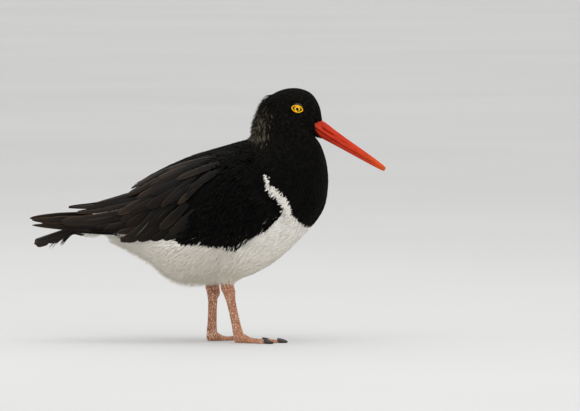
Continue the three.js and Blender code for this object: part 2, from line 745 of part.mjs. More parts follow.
// The pad under a leg's heel, grown by a margin where the shank keeps clear of it.
function heelPad(leg, grow) {
  const ball = new THREE.SphereGeometry(1, ...HEEL_PAD.sides);
  ball.scale(...HEEL_PAD.half.map((value) => value + grow));
  return solid(ball.translate(leg.heel[0], leg.heel[1], HEEL_PAD.rise));
}

// A feathered thigh, grown by a margin where the shank keeps clear of it.
function thighLoft(leg, grow) {
  const end = [leg.ankle[0], leg.ankle[1], THIGH_FOOT];
  return solid(limbLoft(leg.hip, end, THIGH_STATIONS, THIGH_SIDES, grow));
}

// One foot: the heel pad joined to three toes, each of which makes room for its claw.
function addFoot(leg, floor) {
  const mirror = leg.side === 'left' ? 1 : -1;
  const toes = TOES.map((toe) => ({ toe, angle: (leg.turn + mirror * toe.angle) * DEGREE }));
  let foot = heelPad(leg, 0);
  for (const { toe, angle } of toes) foot = foot.add(solid(toeLoft(leg, angle, toeSlices(toe), 0)));
  for (const { toe, angle } of toes) {
    const claw = solid(toeLoft(leg, angle, clawSlices(toe), 0)).subtract(floor);
    foot = foot.subtract(solid(toeLoft(leg, angle, clawSlices(toe), CLEARANCE)));
    addPiece(`claw_${leg.side}_${toe.name}`, largest(claw), CLAW_BLACK);
  }
  foot = foot.subtract(floor);
  addPiece(`foot_${leg.side}`, largest(foot), LEG_PINK);
  return foot;
}

function addLegs(torso) {
  const { side, deep } = FLOOR_BLOCK;
  const floor = solid(new THREE.BoxGeometry(side, side, deep).translate(0, 0, -deep / 2));
  for (const leg of LEGS) {
    addPiece(`thigh_${leg.side}`, largest(thighLoft(leg, 0).subtract(torso)), WHITE_PLUMAGE);
    const foot = addFoot(leg, floor);
    const shank = solid(limbLoft(leg.ankle, leg.heel, TARSUS_STATIONS, TARSUS_SIDES, 0));
    const thighRoom = thighLoft(leg, CLEARANCE).subtract(torso);
    const tarsus = shank.subtract(heelPad(leg, CLEARANCE)).subtract(thighRoom).subtract(foot);
    addPiece(`tarsus_${leg.side}`, largest(tarsus), LEG_PINK);
  }
}

const torsoRoom = solid(bodyLoft(0, NECK_FROM, CLEARANCE));
const neckRoom = solid(bodyLoft(NECK_FROM, HEAD_FROM, CLEARANCE));
addHead();
addBill();
addEyes();
addNeckAndTorso();
addTail([torsoRoom]);
addWings([torsoRoom, neckRoom, tailCore(CLEARANCE), ...tailFeathers(CLEARANCE)]);
addLegs(torsoRoom);

export default bird;
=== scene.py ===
import functools
import math

import bmesh
import bpy
import numpy as np
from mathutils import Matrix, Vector


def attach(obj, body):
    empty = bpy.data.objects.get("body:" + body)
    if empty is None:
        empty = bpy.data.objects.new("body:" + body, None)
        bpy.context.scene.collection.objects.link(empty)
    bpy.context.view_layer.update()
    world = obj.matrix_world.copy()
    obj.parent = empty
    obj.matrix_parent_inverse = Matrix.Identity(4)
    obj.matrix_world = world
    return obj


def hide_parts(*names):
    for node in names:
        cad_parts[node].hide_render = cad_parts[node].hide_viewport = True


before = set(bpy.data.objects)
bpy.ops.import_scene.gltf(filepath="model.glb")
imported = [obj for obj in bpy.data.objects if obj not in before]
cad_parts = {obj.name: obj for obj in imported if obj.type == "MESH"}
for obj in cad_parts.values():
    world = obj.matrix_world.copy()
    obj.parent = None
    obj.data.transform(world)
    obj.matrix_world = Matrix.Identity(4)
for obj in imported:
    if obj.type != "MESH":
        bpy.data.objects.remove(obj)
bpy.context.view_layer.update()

# Lengths are in metres. X is forward, Y the bird's left and Z up, as in the frame.
MM = 0.001
PER_MM = 1 / MM
ROOT = "root"
RIGHT, LEFT = -1, 1
SIDES = {"right": RIGHT, "left": LEFT}
BAKE_MAP = "OFBake"
SHAPE_MAP = "Vane"
WHITE = "white"
TONE = "tone"
BROWN = "brown"
PALE = "pale"
FULL_TURN = 2 * math.pi

# Body: slanting slices from a point on the back to one on the belly, each with its half width and
# how far its widest place lies towards the belly (mm)
BODY_SLICES = {
    "tail root": (-101, 129, -103, 102.5, 15, 0.0),
    "vent": (-84, 138, -84, 92.5, 25, 0.05),
    "hind belly": (-60, 150.5, -58, 77, 35, 0.08),
    "flank": (-33, 165, -32, 57.8, 42.5, 0.1),
    "thighs": (-8, 176.5, 3, 56.6, 45.5, 0.08),
    "keel": (13, 184.5, 34, 61, 46, 0.05),
    "shoulders": (29, 190.5, 64, 76.5, 44.5, 0.03),
    "breast": (37.5, 195.5, 92, 102.5, 42.5, 0.03),
    "bib": (40.5, 199.5, 110, 126, 38.5, 0.04),
    "neck base": (41.5, 204.5, 115, 150, 33, 0.06),
    "neck": (43.5, 212, 113.6, 171, 26.8, 0.1),
    "throat": (47.5, 222.5, 108.5, 187.5, 21.8, 0.06),
    "nape": (55.5, 234.5, 103.8, 194.8, 19, 0.0),
    "hind crown": (69, 242.4, 101.8, 196.6, 17.8, -0.02),
    "crown": (84.5, 244.2, 101.6, 197.2, 16.8, 0.0),
    "forehead": (98, 239.2, 102.2, 197.0, 14, 0.08),
    "lores": (105.8, 227.5, 103.4, 196.4, 10.4, 0.12),
    "bill base": (108.8, 213.6, 104.8, 195.6, 6.6, 0.1),
}
BODY = np.array(list(BODY_SLICES.values()))
BODY_END = len(BODY) - 1
GAPE_SETBACK = 11.0

# Eye: the ball's centre, the opening between the lids and the lids' own thickness (mm)
EYE_CENTRE = np.array([84.7, 9.9, 224.4])
EYE_RADIUS = 7.6
LID_HALF_LENGTH = 4.9
LID_HALF_HEIGHT = 2.7
LID_TUBE = 0.52
LID_TILT = math.radians(-14)
IRIS_RADIUS = 3.0
PUPIL_RADIUS = 1.5

# Bill: its axis, and slices across it with their height above and below the axis (mm)
BILL_ROOT = np.array([95.2, 0, 213.6])
BILL_TIP = np.array([169, 0, 165.6])
BILL_LENGTH = np.linalg.norm(BILL_TIP - BILL_ROOT)
BILL_AXIS = (BILL_TIP - BILL_ROOT) / BILL_LENGTH
BILL_UP = np.array([-BILL_AXIS[2], 0, BILL_AXIS[0]])
BILL_SLICES = np.array([
    # share of the length, up, down, half width
    (0.0, 5.2, 4.6, 3.6),
    (0.1, 6.6, 7.4, 5.0),
    (0.18, 6.9, 8.4, 5.4),
    (0.3, 5.9, 7.4, 4.5),
    (0.45, 5.1, 6.2, 3.6),
    (0.6, 4.6, 5.2, 2.9),
    (0.75, 4.1, 4.2, 2.3),
    (0.88, 3.5, 3.3, 1.9),
    (0.96, 2.8, 2.5, 1.6),
    (1.0, 1.9, 1.7, 1.2),
])

# Folded wings: the outer surface that the wing feathers lie on, one slice every CLOAK_STEP (mm)
REAR_X = -170
CLOAK_STEP = 30
CLOAK = np.array([
    # ridge, widest place, underside, half width
    (118.5, 111, 106, 7),
    (131, 108, 100, 16),
    (137, 109, 97, 24),
    (147.3, 114, 88, 33),
    (164, 120, 76, 42),
    (177.8, 125, 60, 48.5),
    (187.2, 127, 56, 51),
    (195.5, 131, 64, 50.5),
    (200, 138, 84, 47),
])

# Tail (mm)
TAIL_ROOT = np.array([-103.5, 0, 121.5])
TAIL_TIP = np.array([-167, 0, 97.2])
TAIL_ARCH = 0.024

# Legs: ankle and heel, and how far the foot turns out to the bird's left (mm, degrees)
LEGS = {
    "left": {"ankle": (3.6, 16, 49.5), "heel": (2.4, 16, 6.5), "turn": 46, "hip": (2, 16, 66)},
    "right": {"ankle": (18.6, -16, 50.8), "heel": (28.6, -16, 6.5), "turn": -4, "hip": (13, -16, 66)},
}


def together(*values):
    """The values as arrays of numbers, all of one shape."""
    return np.broadcast_arrays(*(np.asarray(value, float) for value in values))


def spline(values, place):
    """Smooth curve through evenly spaced values: a cubic between each two of them, whose slope at a
    value is half the difference of its two neighbours."""
    values = np.asarray(values, float)
    last = len(values) - 1
    ends = np.concatenate([[2 * values[0] - values[1]], values, [2 * values[-1] - values[-2]]])
    i = np.clip(np.floor(place).astype(int), 0, last - 1)
    f = place - i
    p0, p1, p2, p3 = (ends[i + k] for k in range(4))
    m1, m2 = (p2 - p0) / 2, (p3 - p1) / 2
    f2, f3 = f * f, f * f * f
    return (2 * f3 - 3 * f2 + 1) * p1 + (f3 - 2 * f2 + f) * m1 + (3 * f2 - 2 * f3) * p2 + (f3 - f2) * m2


def smoothstep(x, low, high):
    """0 below low, 1 above high, and 3f squared less 2f cubed between them."""
    f = np.clip((x - low) / (high - low), 0, 1)
    return f * f * (3 - 2 * f)


def bump(x, centre, width):
    """A bell of height 1 at centre: e to the minus (distance / width) squared."""
    return np.exp(-(((x - centre) / width) ** 2))


# Surfaces, in millimetres

def shoulder_swell(x, z):
    """How far the breast feathers rise over the front of the folded wing: a bell across the line
    that the wing's front edge follows, faded out at its two ends."""
    edge = np.interp(z, [100, 126, 138, 150, 165, 190], [66, 74, 70, 57, 49, 38])
    return 3.4 * bump(x, edge + 1, 15) * smoothstep(z, 84, 108) * (1 - smoothstep(z, 178, 200))


def head_relief(x, y, z):
    """Shallow forms of the head: hollows before and around the eye, a brow over it, and a full
    cheek behind the gape, each a round bell in the side view that fades towards the middle plane."""
    def spot(cx, cz, wide, tall):
        """e to the minus square of the distance, taken as shares of the bell's width and height."""
        return np.exp(-(((x - cx) / wide) ** 2) - (((z - cz) / tall) ** 2))

    side = smoothstep(np.abs(y), 4, 11)
    form = -1.7 * spot(EYE_CENTRE[0] + 1, EYE_CENTRE[2], 8.5, 6.0)
    form += 0.9 * spot(EYE_CENTRE[0] - 1, EYE_CENTRE[2] + 8.2, 9.0, 3.2)
    form += -1.2 * spot(99, 217, 6.0, 5.0)
    form += 1.2 * spot(80, 209, 10.0, 7.5)
    return form * side


def body_surface(place, turn, out=0.0):
    """Body: an egg-shaped ring round the middle of each slanting slice. A point is the slice's
    centre, plus its half height times the cosine of turn along the slice, plus its half width times
    the sine of turn across it, less a share that moves the widest place towards the belly. The
    breast's swell and the head's relief are added to out, and the gape's sides are set back."""
    place, turn, out = together(place, turn, out)
    back_x, back_z, belly_x, belly_z, half, low = (spline(BODY[:, i], place) for i in range(6))
    rise_x, rise_z = back_x - belly_x, back_z - belly_z
    span = np.hypot(rise_x, rise_z)
    up_x, up_z = rise_x / span, rise_z / span
    c, s = np.cos(turn), np.sin(turn)

    def ring(extra):
        """The rings' points, grown by a distance."""
        tall = span / 2 + extra
        setback = GAPE_SETBACK * smoothstep(place, BODY_END - 2, BODY_END) * s ** 4
        x = (back_x + belly_x) / 2 + up_x * tall * c - up_z * setback
        z = (back_z + belly_z) / 2 + up_z * tall * c + up_x * setback
        return np.stack([x, (half + extra) * s * (1 - low * c), z], -1)

    x, y, z = np.moveaxis(ring(0.0), -1, 0)
    out = out + shoulder_swell(x, z) * np.abs(s) ** 3
    out = out + head_relief(x, y, z)
    return ring(out)


def cloak_surface(x, turn, out=0.0, side=RIGHT):
    """Folded wing: at each x a half ring round its widest height. A point is that height, plus the
    reach to the ridge or the underside times the cosine of turn, and the half width times its sine
    to the bird's right or left."""
    x, turn, out = together(x, turn, out)
    top, mid, foot, half = (spline(CLOAK[:, i], (x - REAR_X) / CLOAK_STEP) for i in range(4))
    c = np.cos(turn)
    tall = np.where(c > 0, top - mid, mid - foot) + out
    return np.stack([x, side * (half + out) * np.sin(turn), mid + tall * c], -1)


def cloak_turn(x, z):
    """The turn at which the folded wing reaches height z: the arc cosine of its share of the reach."""
    top, mid, foot, _ = (spline(CLOAK[:, i], (np.asarray(x, float) - REAR_X) / CLOAK_STEP) for i in range(4))
    c = np.where(z > mid, (z - mid) / (top - mid), (z - mid) / (mid - foot))
    return np.arccos(np.clip(c, -1, 1))


def tail_surface(along, across, out=0.0):
    """Tail: a straight run from root to tip, whose sides drop by the square of the distance across."""
    along, across, out = together(along, across, out)
    axis = (TAIL_TIP - TAIL_ROOT) / np.linalg.norm(TAIL_TIP - TAIL_ROOT)
    point = TAIL_ROOT + along[..., None] * axis
    point[..., 1] += across
    point[..., 2] += out - TAIL_ARCH * across ** 2
    return point


# Markings, as shares of white from the side view (mm)
SPUR_LINE = np.array([(53.3, 162.3), (55.2, 157.5), (56.2, 152.7), (59.1, 147.9), (64.4, 144.1),
                      (69.2, 138.8), (72.5, 134.5), (74.9, 128.7), (76.4, 123.9), (74, 116), (64, 108)])
BIB_EDGE = np.array([(60, 130), (75.4, 126), (81.6, 121.2), (85.9, 116), (93.6, 110.8), (101, 110.4),
                     (112, 112)])
WHITE_REAR_X = -126


def spur_distance(x, z):
    """Distance to the white spur's centre line: the least over its straight stretches."""
    best = np.full(np.shape(x), np.inf)
    for (ax, az), (bx, bz) in zip(SPUR_LINE[:-1], SPUR_LINE[1:]):
        run, rise = bx - ax, bz - az
        f = np.clip(((x - ax) * run + (z - az) * rise) / (run * run + rise * rise), 0, 1)
        best = np.minimum(best, np.hypot(x - ax - f * run, z - az - f * rise))
    return best


def white_share(point, ragged=0.0):
    """1 where the plumage is white and 0 where it is black: below the bib's edge and the wing, and
    along the spur in front of the wing. ragged moves the edges by that many millimetres."""
    x, y, z = point[..., 0], point[..., 1], point[..., 2]
    edge = np.interp(x, BIB_EDGE[:, 0], BIB_EDGE[:, 1])
    below = z + ragged < edge
    half_width = np.interp(z, [117, 123, 130, 138, 146], [4.0, 1.8, 1.8, 1.2, 0.0])
    spur = (spur_distance(x, z) + 0.55 * ragged < half_width) & (np.abs(y) > 20)
    return ((below | spur) & (x > WHITE_REAR_X)).astype(float)


# Meshes

def make_piece(name, points, faces, material):
    """A piece from points in millimetres and faces, riding on the bird's one body."""
    mesh = bpy.data.meshes.new(name)
    mesh.from_pydata([], [], [])
    points = np.asarray(points, float).reshape(-1, 3) * MM
    faces = np.asarray(faces, np.int32)
    corners = faces.shape[1]
    mesh.vertices.add(len(points))
    mesh.vertices.foreach_set("co", points.astype(np.float32).ravel())
    mesh.loops.add(faces.size)
    mesh.loops.foreach_set("vertex_index", faces.ravel())
    mesh.polygons.add(len(faces))
    mesh.polygons.foreach_set("loop_start", np.arange(0, faces.size, corners, dtype=np.int32))
    mesh.update(calc_edges=True)
    mesh.polygons.foreach_set("use_smooth", np.ones(len(faces), bool))
    mesh.validate()
    piece = bpy.data.objects.new(name, mesh)
    bpy.context.collection.objects.link(piece)
    mesh.materials.append(material)
    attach(piece, ROOT)
    return piece


def set_map(piece, name, uv):
    """A UV map from one pair of values for each vertex."""
    mesh = piece.data
    corner = np.empty(len(mesh.loops), np.int32)
    mesh.loops.foreach_get("vertex_index", corner)
    layer = mesh.uv_layers.new(name=name)
    layer.data.foreach_set("uv", np.asarray(uv, np.float32).reshape(-1, 2)[corner].ravel())


def set_value(piece, name, values):
    """A named number at each vertex, which the materials read."""
    layer = piece.data.attributes.new(name, "FLOAT", "POINT")
    layer.data.foreach_set("value", np.asarray(values, np.float32).ravel())


def set_marks(piece, white, tone):
    """The share of white and the tone at the vertices of a bare skin."""
    count = len(piece.data.vertices)
    set_value(piece, WHITE, np.broadcast_to(white, count))
    set_value(piece, TONE, np.full(count, tone))


def grid_faces(rows, columns, wrap_columns=False, wrap_rows=False):
    """Four-cornered faces between neighbours of a grid of points, closed round where it wraps."""
    i, j = np.meshgrid(np.arange(rows if wrap_rows else rows - 1),
                       np.arange(columns if wrap_columns else columns - 1), indexing="ij")
    i2, j2 = (i + 1) % rows, (j + 1) % columns
    corners = [i * columns + j, i * columns + j2, i2 * columns + j2, i2 * columns + j]
    return np.stack(corners, -1).reshape(-1, 4)


def tube_piece(name, rings, material):
    """A closed tube through rings of points, its two ends drawn in to a point each by repeating the
    ring's middle, so that every face has four corners."""
    rings = np.asarray(rings, float)
    first = np.broadcast_to(rings[0].mean(0), rings[0].shape)
    last = np.broadcast_to(rings[-1].mean(0), rings[-1].shape)
    rings = np.concatenate([first[None], rings, last[None]])
    piece = make_piece(name, rings, grid_faces(len(rings), rings.shape[1], wrap_columns=True), material)
    weld(piece)
    return piece


def weld(piece, gap=1e-6):
    """Merges doubled points and turns the faces outwards."""
    shape = bmesh.new()
    shape.from_mesh(piece.data)
    bmesh.ops.remove_doubles(shape, verts=shape.verts, dist=gap)
    bmesh.ops.dissolve_degenerate(shape, edges=shape.edges, dist=gap)
    bmesh.ops.recalc_face_normals(shape, faces=shape.faces)
    shape.to_mesh(piece.data)
    shape.free()
    piece.data.polygons.foreach_set("use_smooth", np.ones(len(piece.data.polygons), bool))


# Plumage: thin closed vanes laid on a surface, each with its root sunk and its tip free

# Share of a vane's length, and its half width there as a share of the widest
TUFT_OUTLINE = np.array([(0, 0.45), (0.42, 1.0), (0.8, 0.78), (1, 0.06)])
CONTOUR_OUTLINE = np.array([(0, 0.5), (0.3, 0.93), (0.68, 1.0), (0.9, 0.68), (1, 0.15)])
# Large feathers: points along and across their grids, and their thickness at the root (mm)
VANE_ROWS, VANE_COLUMNS = 30, 7
VANE_THICK = 0.7
# Steps of the even sequence of roots, and of a slope taken on a surface
GOLDEN_U, GOLDEN_V = 0.7548776662466927, 0.5698402909980532
NEARBY = 1e-3
# How often a vane that runs over an edge is cut, and to what share each time
TRIMS, TRIM = 7, 0.82
# Size of a vane's patch on the bake map, and the palest tone of a vane that isn't worn
BAKE_PATCH = 0.003
PLAIN_TONE = 0.7


def spacings(surface, u, v):
    """Millimetres along a surface for a unit of u and of v, from points a little to each side."""
    along = np.linalg.norm(surface(u + NEARBY, v) - surface(u - NEARBY, v), axis=-1) / (2 * NEARBY)
    across = np.linalg.norm(surface(u, v + NEARBY) - surface(u, v - NEARBY), axis=-1) / (2 * NEARBY)
    return np.maximum(along, 1e-3), np.maximum(across, 1e-3)


def scatter(surface, count, u_range, v_range, size, seed):
    """About count roots, closer where the vanes are smaller: an even sequence of places, each kept
    with a chance in proportion to the surface's area there over the area of one vane."""
    rng = np.random.default_rng(seed)
    tries = 14 * count
    i = np.arange(tries)
    u = u_range[0] + (u_range[1] - u_range[0]) * ((0.5 + GOLDEN_U * i) % 1)
    v = v_range[0] + (v_range[1] - v_range[0]) * ((0.5 + GOLDEN_V * i) % 1)
    along, across = spacings(surface, u, v)
    chance = along * across / size(u, v)
    chance *= count / chance.sum()
    kept = rng.random(tries) < chance
    return u[kept], v[kept]


def lay_tufts(surface, u, v, length, width, rng, lie=0.0, lift=0.12, sink=0.9, rise=0.0,
              outline=TUFT_OUTLINE, thick=0.3, spread=9.0, forward=-1, beyond=None):
    """Corner points of one small vane at each root. Along its length a vane follows the surface
    towards lower u, turned by its lie, and it is cut short where its tip would be beyond an edge.
    Its height is the root's, less sink, plus lift times the length at the tip; its middle stands
    thick over its edges, and its underside is nearly flat."""
    n = len(u)
    length = length * rng.uniform(0.8, 1.2, n)
    width = width * rng.uniform(0.85, 1.15, n)
    angle = np.radians(lie + rng.normal(0, 1, n) * spread)
    along, across = spacings(surface, u, v)
    for _ in range(TRIMS if beyond else 0):
        tips = surface(u + forward * length * np.cos(angle) / along, v + length * np.sin(angle) / across)
        length = np.where(beyond(tips), TRIM * length, length)
    tip_up = length * lift * rng.uniform(0.4, 1.5, n)
    share, half = outline[:, 0], outline[:, 1]
    corner = np.array([(-1, 0.0), (0, 1.0), (1, 0.0), (0, -0.25)])
    a = length[:, None, None] * share[None, :, None] * np.ones(4)
    b = width[:, None, None] / 2 * half[None, :, None] * corner[:, 0]
    bend = rng.normal(0, 0.08, n)[:, None, None] * a * share[None, :, None]
    b = b + bend
    height = rise - sink * (1 - smoothstep(share, 0, 0.75))[None, :, None] \
        + tip_up[:, None, None] * share[None, :, None] ** 1.6 \
        + np.reshape(thick, (-1, 1, 1)) * half[None, :, None] * corner[:, 1]
    c, s = np.cos(angle)[:, None, None], np.sin(angle)[:, None, None]
    du = forward * (a * c - b * s) / along[:, None, None]
    dv = (a * s + b * c) / across[:, None, None]
    return surface(u[:, None, None] + du, v[:, None, None] + dv, height)


def tuft_faces(count, stations):
    """Faces of closed four-sided vanes: the sides from station to station, and both ends."""
    side = grid_faces(stations, 4, wrap_columns=True)
    ends = np.array([[0, 3, 2, 1], np.arange(4) + 4 * (stations - 1)])
    one = np.concatenate([side, ends])
    return (one[None] + (np.arange(count) * stations * 4)[:, None, None]).reshape(-1, 4)


def facing_out(faces, points, count):
    """The faces of count closed vanes, turned round if the first one's volume comes out negative:
    the sum of its corners' triple products, with each face cut in two triangles."""
    corners = points.reshape(-1, 3)[faces[: len(faces) // count]]
    a, b, c, d = np.moveaxis(corners - corners.mean((0, 1)), 1, 0)
    volume = np.sum(a * np.cross(b, c)) + np.sum(a * np.cross(c, d))
    return faces if volume > 0 else faces[:, ::-1]


def coat_piece(name, u, v, points, material, u_range, v_range, rng, white, mix=1.0, brown=0.0):
    """One piece of plumage. White is given for each vane or each of its points, each vane has its
    own tone, raised by brown, and the bake patch of a vane is at its root."""
    count, stations = points.shape[:2]
    piece = make_piece(name, points, facing_out(tuft_faces(count, stations), points, count), material)
    each = stations * 4
    set_value(piece, WHITE, np.broadcast_to(np.reshape(white, (count, -1)), (count, each)))
    set_value(piece, TONE, np.repeat(np.minimum(PLAIN_TONE * rng.random(count) ** mix + brown, 1), each))
    root = np.stack([(place - low) / (high - low) for place, (low, high) in ((u, u_range), (v, v_range))], -1)
    i, j = np.meshgrid(np.linspace(0, 1, stations), np.array([0, 0.5, 1, 0.5]), indexing="ij")
    patch = BAKE_PATCH * np.stack([i, j], -1).reshape(-1, 2)
    set_map(piece, BAKE_MAP, 0.995 * root[:, None, :] + patch[None])
    return piece


def lay_vanes(surface, roots, tips, half, lift, twist, outline, rng, notch):
    """Large feathers, each from its root to its tip on a surface. Their grids have seven points
    across on top and below. Height runs evenly from the root's to the tip's, plus a twist across, a
    low ridge along the shaft and a droop of the edges. The outline is a curve through its points,
    and each vane has a few narrow splits where its barbs part."""
    n = len(roots)
    outline = np.array(outline)
    share = np.linspace(0, 1, VANE_ROWS) ** 0.9
    across = np.linspace(-1, 1, VANE_COLUMNS)
    half = np.broadcast_to(half, n) * rng.uniform(0.93, 1.07, n)
    width = np.interp(share, outline[:, 0], outline[:, 1])
    width = np.convolve(np.pad(width, 1, mode="edge"), [0.25, 0.5, 0.25], "valid")
    width[-1] = outline[-1, 1] * 0.6
    u = roots[:, 0, None] + (tips[:, 0] - roots[:, 0])[:, None] * share
    v = roots[:, 1, None] + (tips[:, 1] - roots[:, 1])[:, None] * share
    _, round_ = spacings(surface, u, v)
    run = (tips[:, 0] - roots[:, 0])[:, None]
    rise = (tips[:, 1] - roots[:, 1])[:, None] * round_
    size = np.hypot(run, rise)
    curve = rng.normal(0, 0.4, n)[:, None] * 4 * share * (1 - share)
    place = rng.uniform(0.45, 0.93, (n, 2))
    depth = notch * (rng.random((n, 2)) < 0.55)
    cut_left = 1 - depth[:, 0, None] * np.exp(-(((share - place[:, 0, None]) / 0.022) ** 2))
    cut_right = 1 - depth[:, 1, None] * np.exp(-(((share - place[:, 1, None]) / 0.022) ** 2))
    cut = np.where(across[None, None, :] < 0, cut_left[..., None], cut_right[..., None])
    reach = half[:, None, None] * width[None, :, None] * across * cut + curve[..., None]
    du = -(rise / size)[..., None] * reach
    dv = ((run / size) / round_)[..., None] * reach
    level = lift[:, 0, None] + (lift[:, 1] - lift[:, 0])[:, None] * share
    level = level[..., None] + twist * across - 0.35 * across ** 2 + 0.22 * np.exp(-((across / 0.18) ** 2))
    body = VANE_THICK * (1 - 0.45 * share[None, :, None] ** 2) * (1 - 0.6 * np.abs(across) ** 3)
    top = surface(u[..., None] + du, v[..., None] + dv, level)
    under = surface(u[..., None] + du, v[..., None] + dv, level - body)
    return np.stack([top, under], 1)


def vane_faces(count, rows, columns):
    """Faces of a closed vane: its top, its underside and the rim between them."""
    grid = grid_faces(rows, columns)
    below = rows * columns
    rim = np.concatenate([np.arange(columns - 1), np.arange(rows - 1) * columns + columns - 1,
                          (rows - 1) * columns + np.arange(columns - 1, 0, -1),
                          np.arange(rows - 1, 0, -1) * columns])
    step = np.roll(rim, -1)
    edge = np.stack([rim, rim + below, step + below, step], -1)
    one = np.concatenate([grid, grid[:, ::-1] + below, edge])
    return (one[None] + (np.arange(count) * 2 * below)[:, None, None]).reshape(-1, 4)


def vane_piece(name, points, material, rng, brown, pale=0.0):
    """One piece of large feathers. Each has its own square of the bake map, and its own tone."""
    count, _, rows, columns = points.shape[:4]
    faces = facing_out(vane_faces(count, rows, columns), points, count)
    piece = make_piece(name, points, faces, material)
    each = 2 * rows * columns
    set_value(piece, WHITE, np.zeros(count * each))
    set_value(piece, TONE, np.repeat(rng.random(count), each))
    set_value(piece, BROWN, np.repeat(np.broadcast_to(brown, count), each))
    set_value(piece, PALE, np.repeat(np.broadcast_to(pale, count), each))
    i, j = np.meshgrid(np.linspace(0, 1, rows), np.linspace(0, 1, columns), indexing="ij")
    one_map = np.tile(np.stack([j, i], -1).reshape(-1, 2), (2, 1))
    set_map(piece, SHAPE_MAP, np.tile(one_map, (count, 1)))
    cells = math.ceil(math.sqrt(count))
    corner = np.stack([np.arange(count) % cells, np.arange(count) // cells], -1) / cells
    set_map(piece, BAKE_MAP, (corner[:, None] + one_map[None] * 0.94 / cells).reshape(-1, 2))
    return piece


# Materials

def linear(code):
    """An sRGB hex colour as linear values, with full alpha."""
    values = [int(code[i:i + 2], 16) / 255 for i in (1, 3, 5)]
    return [c / 12.92 if c <= 0.04045 else ((c + 0.055) / 1.055) ** 2.4 for c in values] + [1.0]


def add(tree, kind, *values, out=0, stops=(), **settings):
    """Adds a node and returns one of its outputs. Values fill its inputs in order. A setting is the
    node's own, or else the input's with that identifier. An output given for an input is linked to
    it, colours are sRGB hex, and stops are the places and colours of a ramp."""
    made = tree.nodes.new("ShaderNode" + kind)
    sockets = {socket.identifier: socket for socket in made.inputs}
    given = list(zip(made.inputs, values))
    for key, value in settings.items():
        if hasattr(made, key):
            setattr(made, key, value)
        else:
            given.append((sockets[key], value))
    for socket, value in given:
        if isinstance(value, bpy.types.NodeSocket):
            tree.links.new(value, socket)
        else:
            socket.default_value = linear(value) if isinstance(value, str) else value
    for i, (place, colour) in enumerate(stops):
        elements = made.color_ramp.elements
        element = elements[i] if i < len(elements) else elements.new(1.0)
        element.position, element.color = place, linear(colour)
    return made.outputs[out]


def new_material(name, **constants):
    """An empty surface with the shader's constants set on its own sockets. Gives what adds its
    nodes, the place on the object in metres, and what links outputs to the shader at the end."""
    made = bpy.data.materials.new(name)
    made.use_nodes = True
    shader = made.node_tree.nodes["Principled BSDF"]
    for key, value in constants.items():
        shader.inputs[key.replace("_", " ")].default_value = value

    def finish(**outputs):
        """The material, once outputs are linked to the shader's sockets."""
        for key, value in outputs.items():
            made.node_tree.links.new(value, shader.inputs[key.replace("_", " ")])
        return made

    node = functools.partial(add, made.node_tree)
    return node, node("TexCoord", out="Object"), finish


def body_plumage():
    """Small contour feathers, whose loose barbs scatter light: black ones a warm olive black with a
    faint sheen, flecked on the head and neck, and white ones cream, with painted shade that turns them a
    darker, warmer cream where they lie low."""
    node, place, finish = new_material("contour_feather_keratin", Sheen_Weight=0.008, Sheen_Roughness=0.4,
                                       Specular_IOR_Level=0.04)
    tone, white = (node("Attribute", attribute_name=name, out="Fac") for name in (TONE, WHITE))
    height = node("SeparateXYZ", place, out="Z")
    flecks = node("TexNoise", place, Scale=PER_MM / 2.4, Detail=3, Roughness=0.6)
    flecks = node("MapRange", flecks, 0.5, 0.72, 0, 0.55)
    flecks = node("Math", flecks, node("MapRange", height, 0.17, 0.2, 0.12, 0.95), operation="MULTIPLY")
    black = node("ValToRGB", tone, stops=[(0, "#020202"), (0.4, "#060605"), (0.7, "#12100d"),
                                          (0.85, "#2e2a22"), (1, "#615a4b")])
    black = node("Mix", data_type="RGBA", Factor_Float=flecks, A_Color=black, B_Color="#2b271f", out=2)
    pale = node("ValToRGB", tone, stops=[(0, "#ebe7de"), (0.35, "#f0ece4"), (0.7, "#f5f2ec")])
    # Painted shade: the white plumage is darkened to a warm cream towards the bottom of the belly, which
    # faces away from the overhead light
    low = node("MapRange", height, 0.055, 0.11, 0.45, 0)
    pale = node("Mix", data_type="RGBA", Factor_Float=low, A_Color=pale, B_Color="#dccfb6", out=2)
    white = node("MapRange", white, 0.3, 0.7)
    colour = node("Mix", data_type="RGBA", Factor_Float=white, A_Color=black, B_Color=pale, out=2)
    barbs = node("TexNoise", place, Scale=PER_MM / 0.5, Detail=2, Roughness=0.55)
    return finish(Base_Color=colour, Roughness=node("MapRange", white, 0, 1, 0.56, 0.85),
                  Normal=node("Bump", Strength=0.5, Distance=0.12 * MM, Height=barbs))


# Barbs are drawn about 0.8 mm apart on a 40 mm feather, coarser than the real 0.3 mm, so as to show
BARBS_ALONG = 50
BARBS_ACROSS = 26


